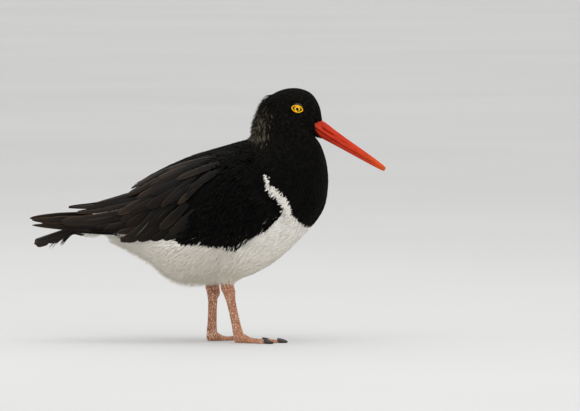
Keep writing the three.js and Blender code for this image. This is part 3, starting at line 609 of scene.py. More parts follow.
def flight_plumage():
    """Stiff flight and covert feathers: zipped barbs with a faint satin shine, near black, browner
    at the tip and the edges, partly worn by the sun and partly a painted sheen, with a dark shaft that is
    bare and pale on some."""
    node, place, finish = new_material("vaned_feather_keratin", Sheen_Weight=0.008, Sheen_Roughness=0.4,
                                       Specular_IOR_Level=0.09)

    tone, brown, pale = (node("Attribute", attribute_name=name, out="Fac") for name in (TONE, BROWN, PALE))
    blotch, grain, satin = (node("TexNoise", place, Scale=PER_MM / size, Detail=3, Roughness=0.55)
                            for size in (6, 1.2, 4))
    vane = node("UVMap", uv_map=SHAPE_MAP)
    along = node("SeparateXYZ", vane, out="Y")
    out = node("Math", node("SeparateXYZ", vane, out="X"), 0.5, operation="SUBTRACT")
    out = node("Math", out, operation="ABSOLUTE")
    black = node("ValToRGB", tone, stops=[(0, "#050505"), (0.6, "#0b0b0a"), (1, "#151310")])
    # Brown at the tips and edges: partly real wear, partly a painted sheen that stands in for the satin
    # highlights along the feathers
    worn = node("ValToRGB", tone, stops=[(0, "#34271c"), (0.5, "#46362a"), (1, "#5b4939")])
    tip = node("MapRange", along, 0.35, 1, 0, 0.34)
    edge = node("MapRange", out, 0.36, 0.5, 0, 0.75)
    wear_and_sheen = node("Math", tip, edge, operation="ADD")
    for share in (node("Math", brown, 0.16, operation="ADD"), node("Math", blotch, 0.5, operation="ADD")):
        wear_and_sheen = node("Math", wear_and_sheen, share, operation="MULTIPLY")
    wear_and_sheen = node("Math", wear_and_sheen, 1.0, operation="MINIMUM")
    colour = node("Mix", data_type="RGBA", Factor_Float=wear_and_sheen, A_Color=black, B_Color=worn, out=2)
    shaft = node("MapRange", out, 0, 0.035, 1, 0)
    dark = node("Math", shaft, 0.5, operation="MULTIPLY")
    colour = node("Mix", data_type="RGBA", Factor_Float=dark, A_Color=colour, B_Color="#060504", out=2)
    bare = node("Math", shaft, 3.0, operation="POWER")
    for share in (pale, node("MapRange", along, 0.34, 0.46), node("MapRange", along, 0.6, 0.76, 1, 0)):
        bare = node("Math", bare, share, operation="MULTIPLY")
    colour = node("Mix", data_type="RGBA", Factor_Float=bare, A_Color=colour, B_Color="#a39d92", out=2)
    up = node("Math", along, FULL_TURN * BARBS_ALONG, operation="MULTIPLY")
    aside = node("Math", out, FULL_TURN * BARBS_ACROSS, operation="MULTIPLY")
    barbs = node("Math", node("Math", up, aside, operation="SUBTRACT"), operation="SINE")
    height = node("Math", node("Math", barbs, 0.3, operation="MULTIPLY"), grain, operation="ADD")
    return finish(Base_Color=colour, Roughness=node("MapRange", satin, 0, 1, 0.42, 0.6),
                  Normal=node("Bump", Strength=0.6, Distance=0.1 * MM, Height=height))


def bill_horn():
    """Horn sheath of the bill: smooth keratin over bone, orange red, more orange towards the tip,
    with faint streaks along it and a satin polish."""
    node, place, finish = new_material("bill_keratin", Coat_Weight=0.03, Coat_Roughness=0.2, IOR=1.5,
                                       Specular_IOR_Level=0.14)
    along = node("MapRange", node("SeparateXYZ", place), 0.1, 0.17)
    colour = node("ValToRGB", along, stops=[(0, "#b01c0c"), (0.25, "#bd2410"), (0.6, "#c42c12"),
                                            (0.86, "#d04a14"), (1, "#cf6412")])
    lean = math.atan2(BILL_ROOT[2] - BILL_TIP[2], BILL_TIP[0] - BILL_ROOT[0])
    level = node("Mapping", node("Mapping", place, Rotation=(0, -lean, 0)), Scale=(0.14, 1, 1))
    streak = node("TexNoise", level, Scale=PER_MM / 1.6, Detail=5, Roughness=0.6)
    shade = node("ValToRGB", streak, stops=[(0.3, "#640b04"), (0.62, "#de4a20")])
    colour = node("Mix", data_type="RGBA", Factor_Float=0.4, A_Color=colour, B_Color=shade, out=2)
    return finish(Base_Color=colour, Roughness=node("MapRange", streak, 0, 1, 0.3, 0.5),
                  Normal=node("Bump", Strength=0.4, Distance=0.12 * MM, Height=streak))


def mouth_lining():
    """Moist dark skin inside the mouth, a thin shadow between the halves of the bill."""
    node, place, finish = new_material("mouth_skin", Roughness=0.45)
    moist = node("TexNoise", place, Scale=PER_MM / 2, Detail=3, Roughness=0.55)
    return finish(Base_Color=node("ValToRGB", moist, stops=[(0.3, "#4a120b"), (0.7, "#6b1d10")]))


def eye_ball(side):
    """Wet eye: a yellow iris that is darker at its rim, with fine rays, round a black pupil with a
    small dark fleck below it, under a clear cornea."""
    node, place, finish = new_material(f"eye_cornea_and_iris_{side}", Roughness=0.08, Coat_Weight=0.2,
                                       Coat_Roughness=0.02, IOR=1.38, Specular_IOR_Level=0.2)

    def distance(x, z):
        """Distance in the side view from a place given from the eye's middle (mm)."""
        square = 0.0
        for axis, middle in (("X", EYE_CENTRE[0] + x), ("Z", EYE_CENTRE[2] + z)):
            run = node("Math", node("SeparateXYZ", place, out=axis), middle * MM, operation="SUBTRACT")
            square = node("Math", node("Math", run, run, operation="MULTIPLY"), square, operation="ADD")
        return node("Math", square, operation="SQRT")

    far = distance(0, 0)
    share = node("Math", far, IRIS_RADIUS * MM, operation="DIVIDE")
    colour = node("ValToRGB", share, stops=[(0, "#ffc400"), (0.5, "#ffd800"), (0.8, "#fbbc00"),
                                            (0.9, "#6a3600"), (0.97, "#0c0602")])
    rays = node("TexNoise", place, Scale=PER_MM / 0.5, Detail=3, Roughness=0.55)
    rays = node("Math", rays, 0.18, operation="MULTIPLY")
    colour = node("Mix", data_type="RGBA", Factor_Float=rays, A_Color=colour, B_Color="#b8860b", out=2)
    pupil = node("MapRange", far, PUPIL_RADIUS * MM * 0.94, PUPIL_RADIUS * MM * 1.06, 1, 0)
    fleck = node("MapRange", distance(0.7, -1.9), 0.7 * MM, 0.95 * MM, 1, 0)
    dark = node("Math", pupil, fleck, operation="MAXIMUM")
    colour = node("Mix", data_type="RGBA", Factor_Float=dark, A_Color=colour, B_Color="#060504", out=2)
    return finish(Base_Color=colour)


def eye_ring_skin():
    """Bare skin of the lids: soft and finely wrinkled, deep yellow with orange patches."""
    node, place, finish = new_material("orbital_skin", Roughness=0.55, Specular_IOR_Level=0.1)
    patches = node("TexNoise", place, Scale=PER_MM / 0.9, Detail=4, Roughness=0.55)
    folds = node("TexNoise", place, Scale=PER_MM / 0.35, Detail=3, Roughness=0.55)
    colour = node("ValToRGB", patches, stops=[(0.3, "#ee8c00"), (0.5, "#fcb800"), (0.7, "#ffd808")])
    return finish(Base_Color=colour, Normal=node("Bump", Strength=0.5, Distance=0.1 * MM, Height=folds))


# Plates are drawn 2.1 mm wide, coarser than the real 1.5 mm, so as to show
SCALE_WIDTH = 2.1


def leg_skin():
    """Scaly skin of the legs: dull pinkish flesh in small many-sided plates, a little longer than
    wide, with browner lines between them, and paler blotches that are partly painted highlights."""
    node, place, finish = new_material("scaled_leg_skin", Subsurface_Weight=0.1, Subsurface_Scale=0.001,
                                       Specular_IOR_Level=0.4)
    level = node("Mapping", place, Scale=(1, 1, 0.75))
    wobble = node("TexNoise", level, Scale=500.0, Detail=2.0, out="Color")
    wobble = node("VectorMath", wobble, Scale=0.0012, operation="SCALE")
    bent = node("VectorMath", level, wobble, operation="ADD")
    edge = node("TexVoronoi", bent, feature="DISTANCE_TO_EDGE", Scale=PER_MM / SCALE_WIDTH)
    plates = node("MapRange", edge, 0.02, 0.2)
    patches = node("TexNoise", place, Scale=PER_MM / 9, Detail=4, Roughness=0.55)
    # The paler patches of flesh are partly painted highlights, scattered at random
    flesh = node("ValToRGB", patches, stops=[(0.32, "#b77d60"), (0.5, "#c99678"), (0.68, "#dfb89e")])
    colour = node("Mix", data_type="RGBA", Factor_Float=plates, A_Color="#855236", B_Color=flesh, out=2)
    return finish(Base_Color=colour, Roughness=node("MapRange", patches, 0, 1, 0.5, 0.72),
                  Normal=node("Bump", Strength=0.7, Distance=0.18 * MM, Height=plates))


def claw_horn():
    """Claws: smooth dark keratin, brown where worn thin."""
    node, place, finish = new_material("claw_keratin", Roughness=0.38, IOR=1.54)
    worn = node("TexNoise", place, Scale=PER_MM / 2.5, Detail=4, Roughness=0.55)
    level = node("Mapping", place, Scale=(1, 1, 0.4))
    grain = node("TexNoise", level, Scale=PER_MM / 0.8, Detail=3, Roughness=0.5)
    return finish(Base_Color=node("ValToRGB", worn, stops=[(0.35, "#15110f"), (0.7, "#3a2d26")]),
                  Normal=node("Bump", Strength=0.5, Distance=0.08 * MM, Height=grain))


def studio_floor():
    """Plain pale matt floor."""
    node, place, finish = new_material("pale_matt_paint", Roughness=0.8, Specular_IOR_Level=0.2)
    faint = node("TexNoise", place, Scale=PER_MM / 900, Detail=2, Roughness=0.55)
    return finish(Base_Color=node("ValToRGB", faint, stops=[(0.3, "#c6c6c6"), (0.7, "#cacaca")]))


# Folded wings. The fleshy part is a plate on the cloak; its edges run from WING_TOP_DEGREES below
# the ridge down to WING_LOW_Z, every CLOAK_STEP from the rear (mm).
WING_REAR_X, WING_FRONT_X = -78, 73
WING_TOP_DEGREES = [40, 8, 5, 5, 9, 14, 20, 34, 80]
WING_LOW_Z = [111, 104.5, 103.5, 103, 102.5, 101, 98, 103, 124]
WING_DEPTH = 9

# Outlines of large feathers: share of the length, and half width there as a share of the widest
TIPS = {
    "round": [(0, 0.5), (0.25, 0.85), (0.55, 1.0), (0.78, 0.95), (0.9, 0.76), (0.97, 0.45), (1, 0.16)],
    "long": [(0, 0.62), (0.25, 0.9), (0.55, 1.0), (0.75, 0.9), (0.88, 0.66), (0.96, 0.36), (1, 0.1)],
    "blade": [(0, 0.9), (0.3, 1.0), (0.66, 1.0), (0.86, 0.72), (0.95, 0.46), (1, 0.2)],
    "broad": [(0, 0.5), (0.3, 0.8), (0.6, 1.0), (0.84, 1.0), (0.93, 0.86), (0.98, 0.6), (1, 0.34)],
}

# Large feathers, rear to front and low to high. Each has its root and tip in the side view, half
# width, height over the cloak at root and tip (mm), outline, share of brown that is part wear and part
# painted sheen, and how pale its shaft is.
FEATHERS = {
    "primaries": [
        ((-92.0, 119.6), (-169.8, 117.4), 3.9, (0.0, 0.0), "blade", 1.0, 0),
        ((-92.0, 112.9), (-161.0, 115.0), 3.3, (-0.8, -0.9), "blade", 1.9, 0),
        ((-92.0, 108.4), (-169.6, 112.4), 2.3, (-1.5, -1.2), "blade", 1.2, 0),
        ((-88.0, 106.5), (-143.0, 110.4), 3.2, (-2.2, -2.0), "blade", 0.3, 0),
    ],
    "tertials": [
        ((-56.7, 142.2), (-134.7, 130.2), 3.4, (-1.6, -0.6), "long", 0.35, 0),
        ((-32.7, 158.5), (-110.5, 133.5), 3.4, (-1.2, 0.2), "long", 0.5, 0),
        ((-42.3, 144.1), (-128.7, 125.2), 2.7, (-1.6, -0.4), "long", 0.6, 0.15),
        ((-56.7, 133.0), (-142.2, 116.4), 6.2, (-2.4, -1.0), "round", 0.3, 0.3),
        ((-61.5, 122.9), (-137.4, 111.2), 5.4, (-3.0, -1.8), "round", 0.3, 0.2),
        ((-69.2, 117.0), (-126.8, 108.6), 3.2, (-3.4, -2.4), "round", 0.5, 0),
    ],
    "secondaries": [
        ((-60.5, 118.4), (-108.1, 110.2), 3.9, (-2.8, -1.2), "round", 0.1, 0),
        ((-56.7, 116.7), (-100.9, 109.0), 3.9, (-2.6, -1.0), "round", 0.15, 0),
        ((-51.9, 114.9), (-94.1, 108.2), 3.9, (-2.4, -0.8), "round", 0.1, 0),
        ((-49.0, 112.6), (-87.8, 106.2), 3.6, (-2.2, -0.6), "round", 0.6, 0),
        ((-60.5, 117.2), (-84.2, 98.0), 4.2, (-1.6, 1.3), "round", 1.0, 0),
    ],
    "coverts": [
        ((-54.7, 131.6), (-84.5, 117.7), 4.4, (-2.0, 0.3), "round", 0.1, 0),
        ((-47.1, 134.5), (-79.2, 112.4), 4.6, (-1.8, 0.6), "round", 0.85, 0.1),
        ((-8.6, 115.3), (-31.7, 98.9), 4.2, (-2.0, 0.3), "round", 0.0, 0),
        ((-15.4, 118.1), (-42.3, 99.9), 4.4, (-2.0, 0.4), "round", 0.05, 0),
        ((-24.0, 122.0), (-54.7, 99.5), 4.6, (-1.9, 0.5), "round", 0.1, 0),
        ((-32.7, 126.8), (-67.2, 98.4), 4.8, (-1.8, 0.6), "round", 0.05, 0),
        ((-41.3, 139.3), (-79.2, 97.4), 5.6, (-1.6, 1.0), "round", 0.2, 1.0),
        ((-4.8, 130.6), (-26.9, 107.1), 4.2, (-1.6, 0.7), "round", 0.0, 0),
        ((-12.5, 128.7), (-37.5, 105.7), 4.4, (-1.5, 0.9), "round", 0.05, 0),
        ((-27.9, 141.2), (-56.2, 113.3), 4.4, (-1.4, 1.1), "round", 0.15, 0.25),
        ((-20.2, 135.4), (-46.6, 110.9), 4.6, (-1.2, 1.4), "round", 0.45, 0),
    ],
    "scapulars": [
        ((-35.5, 147.9), (-75.4, 125.8), 4.6, (-1.0, 1.2), "round", 0.75, 0.1),
        ((-47.1, 145.0), (-87.0, 124.3), 4.4, (-1.0, 1.5), "round", 1.15, 0),
        ((-8.6, 165.2), (-56.7, 141.7), 4.8, (-0.8, 1.5), "round", 0.05, 0),
        ((-18.2, 154.6), (-60.2, 130.2), 5.4, (-0.8, 1.8), "round", 0.25, 0),
        ((2.9, 166.2), (-22.1, 139.8), 3.6, (-0.6, 2.0), "round", 0.1, 0.1),
        ((-8.6, 156.6), (-39.4, 134.5), 3.3, (-0.6, 2.0), "round", 0.45, 0),
        ((-12.5, 161.4), (-45.6, 130.8), 3.7, (-0.4, 2.3), "round", 0.7, 0.1),
        ((0.0, 161.8), (-29.4, 133.8), 3.1, (-0.2, 2.5), "round", 0.65, 0.3),
        ((-16.3, 168.1), (-69.2, 138.7), 3.5, (-0.8, 2.0), "round", 0.85, 0.1),
        ((-23.1, 170.0), (-78.4, 140.4), 3.8, (-0.7, 2.2), "round", 1.15, 0),
        ((-25.9, 173.4), (-74.4, 146.6), 3.0, (-0.6, 2.3), "round", 1.0, 0.1),
        ((15.4, 170.0), (-18.2, 147.9), 3.6, (-0.4, 2.3), "round", 0.3, 0.1),
        ((-3.8, 173.9), (-56.7, 149.4), 3.2, (-0.5, 2.4), "round", 0.9, 0.2),
        ((12.5, 174.8), (-30.7, 156.1), 3.5, (-0.4, 2.4), "round", 0.5, 0),
        ((1.0, 177.2), (-49.0, 156.8), 3.0, (-0.4, 2.5), "round", 0.85, 0.2),
        ((6.7, 179.6), (-39.4, 164.4), 2.8, (-0.3, 2.5), "round", 0.7, 0.1),
    ],
}

# How far the left wing's feathers stray from the right's (mm), their twist, and how deep they split
STRAY = 1.2
VANE_TWIST = 0.35
VANE_NOTCH = 0.3


def wing_side(side):
    """The cloak surface of one side, as a function of x and turn."""
    return lambda x, turn, out=0.0: cloak_surface(x, turn, out, SIDES[side])


# Half distance between the two wings' blades, for x (mm)
BLADE_X, BLADE_OUT = (-172, -140, -90), (4.5, 11.5, 23)


def hand_side(side):
    """The upright sheet that one wing's blades lie on, as a function of x and height."""
    def sheet(x, z, out=0.0):
        """The side's distance for that x, plus out, at the same x and height."""
        x, z, out = together(x, z, out)
        return np.stack([x, SIDES[side] * (np.interp(x, BLADE_X, BLADE_OUT) + out), z], -1)
    return sheet


def make_wing_skin(side, material):
    """The fleshy part of one wing, under its feathers: a plate on the cloak, thinned to its edges."""
    rows, columns = 60, 30
    x = np.linspace(WING_REAR_X, WING_FRONT_X, rows)[:, None]
    across = np.linspace(0, 1, columns)[None, :]
    place = (x - REAR_X) / CLOAK_STEP
    top = np.radians(spline(WING_TOP_DEGREES, place))
    low = np.maximum(cloak_turn(x, spline(WING_LOW_Z, place)), top + 0.04)
    turn = top + (low - top) * across
    surface = wing_side(side)
    out = covert_rise(surface(x, turn)) - 1.9 - 2.6 * (2 * across - 1) ** 4
    out = out - 4.0 * smoothstep(x, WING_FRONT_X - 22, WING_FRONT_X)
    points = np.stack([surface(x, turn, level) for level in (out, out - WING_DEPTH)])
    piece = make_piece(f"wing_skin_{side}", points, vane_faces(1, rows, columns), material)
    weld(piece)
    set_marks(piece, 0, 0.1)
    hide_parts(f"wing_{side}")


def make_feathers(name, side, material):
    """One set of large feathers on one wing. The left wing's differ a little from the right's."""
    rng = np.random.default_rng(101 + 2 * list(FEATHERS).index(name) + (side == "left"))
    rows = FEATHERS[name]
    stray = STRAY if side == "left" else 0.0
    blades = name == "primaries"
    surface = hand_side(side) if blades else wing_side(side)
    ends = []
    for end in (0, 1):
        place = np.array([row[end] for row in rows]) + rng.normal(0, 1, (len(rows), 2)) * (stray, stray / 2)
        ends.append(place if blades else np.stack([place[:, 0], cloak_turn(place[:, 0], place[:, 1])], -1))
    pieces = []
    for i, (_, _, half, lift, tip, _, _) in enumerate(rows):
        pieces.append(lay_vanes(surface, ends[0][i:i + 1], ends[1][i:i + 1], half, np.array([lift]),
                                VANE_TWIST, TIPS[tip], rng, VANE_NOTCH))
    brown = np.array([row[5] for row in rows], float)
    pale = np.array([row[6] for row in rows], float)
    piece = vane_piece(f"{name}_{side}", np.concatenate(pieces), material, rng, brown, pale)
    if blades:
        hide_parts(f"primaries_{side}")


# Small coverts: where their roots lie on the wing, as heights for x and as x for heights (mm)
COVERT_X = (-40, 78)
COVERT_COUNT = 5600
COVERT_LOW = np.array([(-30, 99.5), (-8, 99.3), (13, 96.5), (28, 94), (39, 103), (57, 111), (68, 122),
                       (78, 131)])
COVERT_REAR = np.array([(98, -28), (112, -22), (127, -14), (136, -6), (156, 8), (170, 14), (182, 14)])
COVERT_FRONT = np.array([(88, 30), (99, 40), (107, 55), (118, 66), (126, 72), (138, 66), (150, 56),
                         (165, 52), (180, 46), (192, 38)])


def covert_length(x, turn):
    """Length of a small covert (mm), the same at every turn: longer towards the rear."""
    return np.interp(x, [-40, 0, 40, 78], [9.5, 8, 6.5, 4.6])


def covert_region(x, z):
    """True where small coverts cover the wing."""
    low = np.interp(x, *COVERT_LOW.T)
    return (z > low) & (x > np.interp(z, *COVERT_REAR.T)) & (x < np.interp(z, *COVERT_FRONT.T))


def make_small_coverts(side, material):
    """Small coverts and soft scapulars, laid over the wing's front part."""
    seed = 61 + (side == "left")
    rng = np.random.default_rng(seed)
    surface = wing_side(side)
    ranges = COVERT_X, (math.radians(10), math.radians(140))
    u, v = scatter(surface, COVERT_COUNT, *ranges, lambda x, t: covert_length(x, t) ** 2, seed)
    roots = surface(u, v)
    kept = covert_region(roots[:, 0], roots[:, 2])
    u, v, roots = u[kept], v[kept], roots[kept]
    length = covert_length(u, v)
    lie = np.interp(u, [-40, 0, 40, 75], [38, 44, 44, 40])
    lie = lie * np.interp(v, [0.2, 0.8, 1.6, 2.4], [0.4, 0.9, 1.0, 0.9])
    points = lay_tufts(surface, u, v, length, length * 0.26, rng, lie=lie, lift=0.04, sink=1.0,
                       rise=covert_rise(roots)[:, None, None], outline=CONTOUR_OUTLINE, thick=0.12, spread=8,
                       beyond=below_wing)
    piece = coat_piece(f"small_coverts_{side}", u, v, points, material, *ranges, rng, np.zeros(len(u)), 2.2)


def covert_rise(roots):
    """Height of the small coverts over the cloak: sunk towards the wing's front edge, where the
    breast lies over them, and towards the ridge of the back."""
    x, y, z = np.moveaxis(roots, -1, 0)
    to_front = x - np.interp(z, *COVERT_FRONT.T)
    return 0.1 - 3.2 * smoothstep(to_front, -18, -3) - 1.6 * (1 - smoothstep(np.abs(y), 8, 24))


def below_wing(points):
    """True where a point in the side view is below the folded wing's edge."""
    return points[..., 2] < np.interp(points[..., 0], *WING_EDGE.T)


# White spur: small ragged tufts before the wing's front edge
SPUR_COUNT = 260
SPUR_LENGTH = 5.6


def make_spur(side, material):
    """White tufts scattered about the spur's centre line, down and back, over the dark ones."""
    rng = np.random.default_rng(131 + (side == "left"))
    surface = wing_side(side)
    share = rng.uniform(0, 0.88, SPUR_COUNT)
    steps = np.linspace(0, 1, len(SPUR_LINE))
    x, z = (np.interp(share, steps, SPUR_LINE[:, i]) for i in (0, 1))
    reach = np.interp(z, [122, 130, 140, 148, 153, 157, 163], [1.2, 2.4, 2.6, 3.2, 1.6, 1.2, 1.0])
    x = x + rng.uniform(-1, 1, SPUR_COUNT) * reach + 2.4
    z = np.minimum(z + rng.uniform(-1, 1, SPUR_COUNT) * reach + 1.3, 164)
    v = cloak_turn(x, z)
    roots = surface(x, v)
    length = SPUR_LENGTH * np.interp(z, [140, 160], [1, 0.7])
    points = lay_tufts(surface, x, v, length, 0.75, rng, lie=36, lift=0.1, sink=0.6,
                       rise=(covert_rise(roots) + 1.5)[:, None, None], thick=0.14, spread=24)
    piece = coat_piece(f"spur_{side}", x, v, points, material, (30, 90), (0, math.pi), rng,
                       np.ones(SPUR_COUNT))


# Lower edge of the folded wing in the side view (mm), where loose barbs hang out
WING_EDGE = np.array([(-108.5, 106.1), (-100.9, 106.6), (-93.2, 105.7), (-87.4, 103.7), (-83.1, 99.9),
                      (-78.8, 96.5), (-57.6, 99.2), (-32.1, 99.9), (-29.8, 95.1), (-8.6, 95.3),
                      (13.4, 92.5), (18.2, 89.9), (27.9, 89.7), (39.2, 98.9), (56.7, 107.4), (67.8, 118.1)])
FRINGE_COUNT = 420


def make_fringe(side, material):
    """Loose barbs along the wing's lower edge."""
    rng = np.random.default_rng(83 + (side == "left"))
    surface = wing_side(side)
    u = rng.uniform(WING_EDGE[0, 0] - 4, WING_EDGE[-1, 0], FRINGE_COUNT)
    z = np.interp(u, *WING_EDGE.T) + rng.uniform(1.8, 4.0, FRINGE_COUNT)
    v = cloak_turn(u, z)
    front = smoothstep(u, 30, 60)
    lie = 58 - 30 * front
    points = lay_tufts(surface, u, v, 4.4 - 1.2 * front, 0.6, rng, lie=lie, lift=0.02, sink=0.6,
                       rise=(-0.4 - 3.0 * front)[:, None, None], thick=0.12, spread=12)
    piece = coat_piece(f"fringe_{side}", u, v, points, material, (-120, 80), (0, math.pi), rng,
                       np.zeros(FRINGE_COUNT))


# Tail: pairs of feathers, the middle pair on top, each further pair a step lower and shorter (mm)
TAIL_PAIRS = 6
TAIL_HALF = 5.5
TAIL_SPREAD = 2.3
TAIL_STEP = 0.85
# Loose barbs: where each bunch leaves the tail's edge, along from its root (mm), and how many
TAIL_BUNCHES = (32, 42.5)
TAIL_BARBS = 7
TAIL_NOTCH = 0.4
# Fleshy stump under the tail feathers: its run from the tail's root (mm), and its covert vanes
STUMP = (-6, 36)
STUMP_TUFTS = 700


def make_tail(material, soft):
    """Tail feathers, laid in pairs from the middle out, with loose barbs along their lower edges,
    over the fleshy stump."""
    rng = np.random.default_rng(7)
    full = np.linalg.norm(TAIL_TIP - TAIL_ROOT)
    i = np.repeat(np.arange(TAIL_PAIRS), 2)
    side = np.tile([1, -1], TAIL_PAIRS)
    across = side * (1 + TAIL_SPREAD * i)
    roots = np.stack([np.full(len(i), 12.0), across * 0.45], -1)
    ends = full + 0.8 - 0.32 * (i - 2) ** 2 + rng.normal(0, 0.3, len(i))
    tips = np.stack([ends, across + rng.normal(0, 0.4, len(i))], -1)
    level = -TAIL_STEP * (i + (side < 0) * 0.5)
    lift = np.stack([level - 0.6, 0.55 * level + 1.6], -1)
    points = lay_vanes(tail_surface, roots, tips, TAIL_HALF, lift, 0.0, TIPS["broad"], rng, TAIL_NOTCH)
    piece = vane_piece("tail_feathers", points, material, rng, 0.1)
    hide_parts("tail")
    u = np.concatenate([rng.normal(place, 1.8, 2 * TAIL_BARBS) for place in TAIL_BUNCHES])
    v = np.where(np.arange(len(u)) % 2, -1, 1) * rng.uniform(10, 13, len(u))
    barbs = lay_tufts(tail_surface, u, v, 9.0, 1.5, rng, lie=0, lift=-0.5, sink=0.0, rise=-4.2, thick=0.3,
                      spread=10, forward=1)
    piece = coat_piece("tail_barbs", u, v, barbs, soft, (0, 80), (-20, 20), rng, np.zeros(len(u)))
    along, turn = np.meshgrid(np.linspace(*STUMP, 24), np.linspace(0, FULL_TURN, 36, endpoint=False),
                              indexing="ij")
    stump = tube_piece("tail_stump", stump_surface(along, turn, -0.8), soft)
    set_marks(stump, 0, 0.3)
    u, v = rng.uniform(-8, 26, STUMP_TUFTS), math.pi + rng.uniform(-1.5, 1.5, STUMP_TUFTS)
    white = (u + rng.normal(0, 1.5, STUMP_TUFTS) < 9).astype(float)
    tufts = lay_tufts(stump_surface, u, v, 9.5, 1.3, rng, lift=0.03, sink=0.7, thick=0.15, forward=1)
    piece = coat_piece("undertail_coverts", u, v, tufts, soft, (-20, 50), (0, FULL_TURN), rng, white,
                       1.0, 0.45)


def stump_surface(along, turn, out=0.0):
    """Fleshy stump under the tail feathers: ovals that hang below the tail's upper side and thin
    towards its tip."""
    along, turn, out = together(along, turn, out)
    half = np.interp(along, [-6, 34], [11.5, 8]) + out
    thick = np.interp(along, [-6, 8, 16, 26, 36], [19, 17.5, 14, 8, 3])
    return tail_surface(along, half * np.sin(turn), (thick / 2 + out) * np.cos(turn) - thick / 2 - 0.6)


# Bill, eyes and lids

# Mouth line: how far it runs below the bill's axis, at shares of its length (mm)
MOUTH_LINE = np.array([(0, 2.7), (0.08, 2.9), (0.2, 3.2), (0.45, 3.2), (0.75, 1.6), (1, 0.0)])
GAPE_FLANGE = 2.6
# Height of the nostril slit over the bill's axis (mm)
NOSTRIL_LEVEL = 0.7
# Gap between the halves of the bill at its tip, and how much wider it is at the base (mm)
BILL_GAP = 0.04
BILL_GAPE = 0.3
LID_LEAST_OUT = 15.6


def bill_ring(share, turn):
    """Bill: at each share of its length an oval, whose reach up and down are the slice's. The nostril
    is a long slit in a shallow groove on each side above the middle, and the gape a soft swelling
    at the base of the mouth line."""
    rise, drop, half = (np.interp(share, BILL_SLICES[:, 0], BILL_SLICES[:, i]) for i in (1, 2, 3))
    c, s = np.cos(turn), np.sin(turn)
    level = np.where(c > 0, rise, drop) * c
    mouth = -np.interp(share, *MOUTH_LINE.T)
    groove = bump(level, NOSTRIL_LEVEL, 1.3) * smoothstep(share, 0.12, 0.18)
    groove = groove * (1 - smoothstep(share, 0.42, 0.6))
    slit = bump(level, NOSTRIL_LEVEL, 0.6) * smoothstep(share, 0.165, 0.195)
    slit = slit * (1 - smoothstep(share, 0.3, 0.335))
    flange = bump(level, mouth, 2.6) * (1 - smoothstep(share, 0.05, 0.2))
    seam = bump(level, mouth, 0.45) * smoothstep(share, 0.02, 0.06) * (1 - smoothstep(share, 0.8, 0.97))
    reach = half * np.abs(s) ** 0.85 - 0.5 * groove - 2.0 * slit + GAPE_FLANGE * flange - 0.8 * seam
    point = BILL_ROOT + (share * BILL_LENGTH)[..., None] * BILL_AXIS + level[..., None] * BILL_UP
    point[..., 1] += np.sign(s) * np.maximum(reach, 0) * (np.abs(s) > 1e-6)
    return point


def make_bill(material, mouth):
    """Upper and lower halves of the bill, which meet along the mouth line with a thin dark gap."""
    rows = 170
    share = 1 - (1 - np.linspace(0, 1, rows)) ** 1.15
    drop = np.interp(share, BILL_SLICES[:, 0], BILL_SLICES[:, 2])
    level = -np.interp(share, *MOUTH_LINE.T)
    gap = BILL_GAPE * (1 - share) + BILL_GAP
    for name, sign in (("bill_upper", 1), ("bill_lower", -1)):
        meet = np.arccos(np.clip((level + sign * gap) / drop, -1, 1))
        swing = np.linspace(-1, 1, 60)
        turn = meet[:, None] * swing if sign > 0 else math.pi + (math.pi - meet)[:, None] * swing
        arch = bill_ring(share[:, None] + 0 * turn, turn)
        across = np.linspace(1, 0, 12)[None, 1:-1, None]
        flat = arch[:, -1:, :] * across + arch[:, :1, :] * (1 - across)
        piece = tube_piece(f"horn_{name}", np.concatenate([arch, flat], 1), material)
        soften = piece.modifiers.new("soften", "SMOOTH")
        soften.factor, soften.iterations = 0.25, 1
        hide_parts(name)
    inner = np.linspace(0.02, 0.93, 80)
    s, t = np.meshgrid(inner, np.linspace(0, FULL_TURN, 20, endpoint=False), indexing="ij")
    rings = BILL_ROOT + (s * BILL_LENGTH)[..., None] * BILL_AXIS
    rings = rings + (0.5 * np.cos(t) - np.interp(s, *MOUTH_LINE.T))[..., None] * BILL_UP
    rings[..., 1] += 0.72 * np.interp(s, BILL_SLICES[:, 0], BILL_SLICES[:, 3]) * np.sin(t)
    inside = tube_piece("mouth_lining", rings, mouth)


def lid_curve(turn, grow):
    """The eye's opening in the side view, an almond: cosine along and sine up, drawn to points at
    its ends, turned by the lids' tilt and grown all round."""
    a = (LID_HALF_LENGTH + grow) * np.cos(turn)
    b = (LID_HALF_HEIGHT + grow) * np.sin(turn) * (1 - 0.16 * np.cos(turn) ** 2)
    c, s = math.cos(LID_TILT), math.sin(LID_TILT)
    return EYE_CENTRE[0] + a * c - b * s, EYE_CENTRE[2] + a * s + b * c


def over_ball(x, z, clear):
    """How far out the eyeball reaches at a place in the side view, plus a clearance."""
    far = (x - EYE_CENTRE[0]) ** 2 + (z - EYE_CENTRE[2]) ** 2
    return EYE_CENTRE[1] + np.sqrt(np.maximum((EYE_RADIUS + clear) ** 2 - far, 4.0))


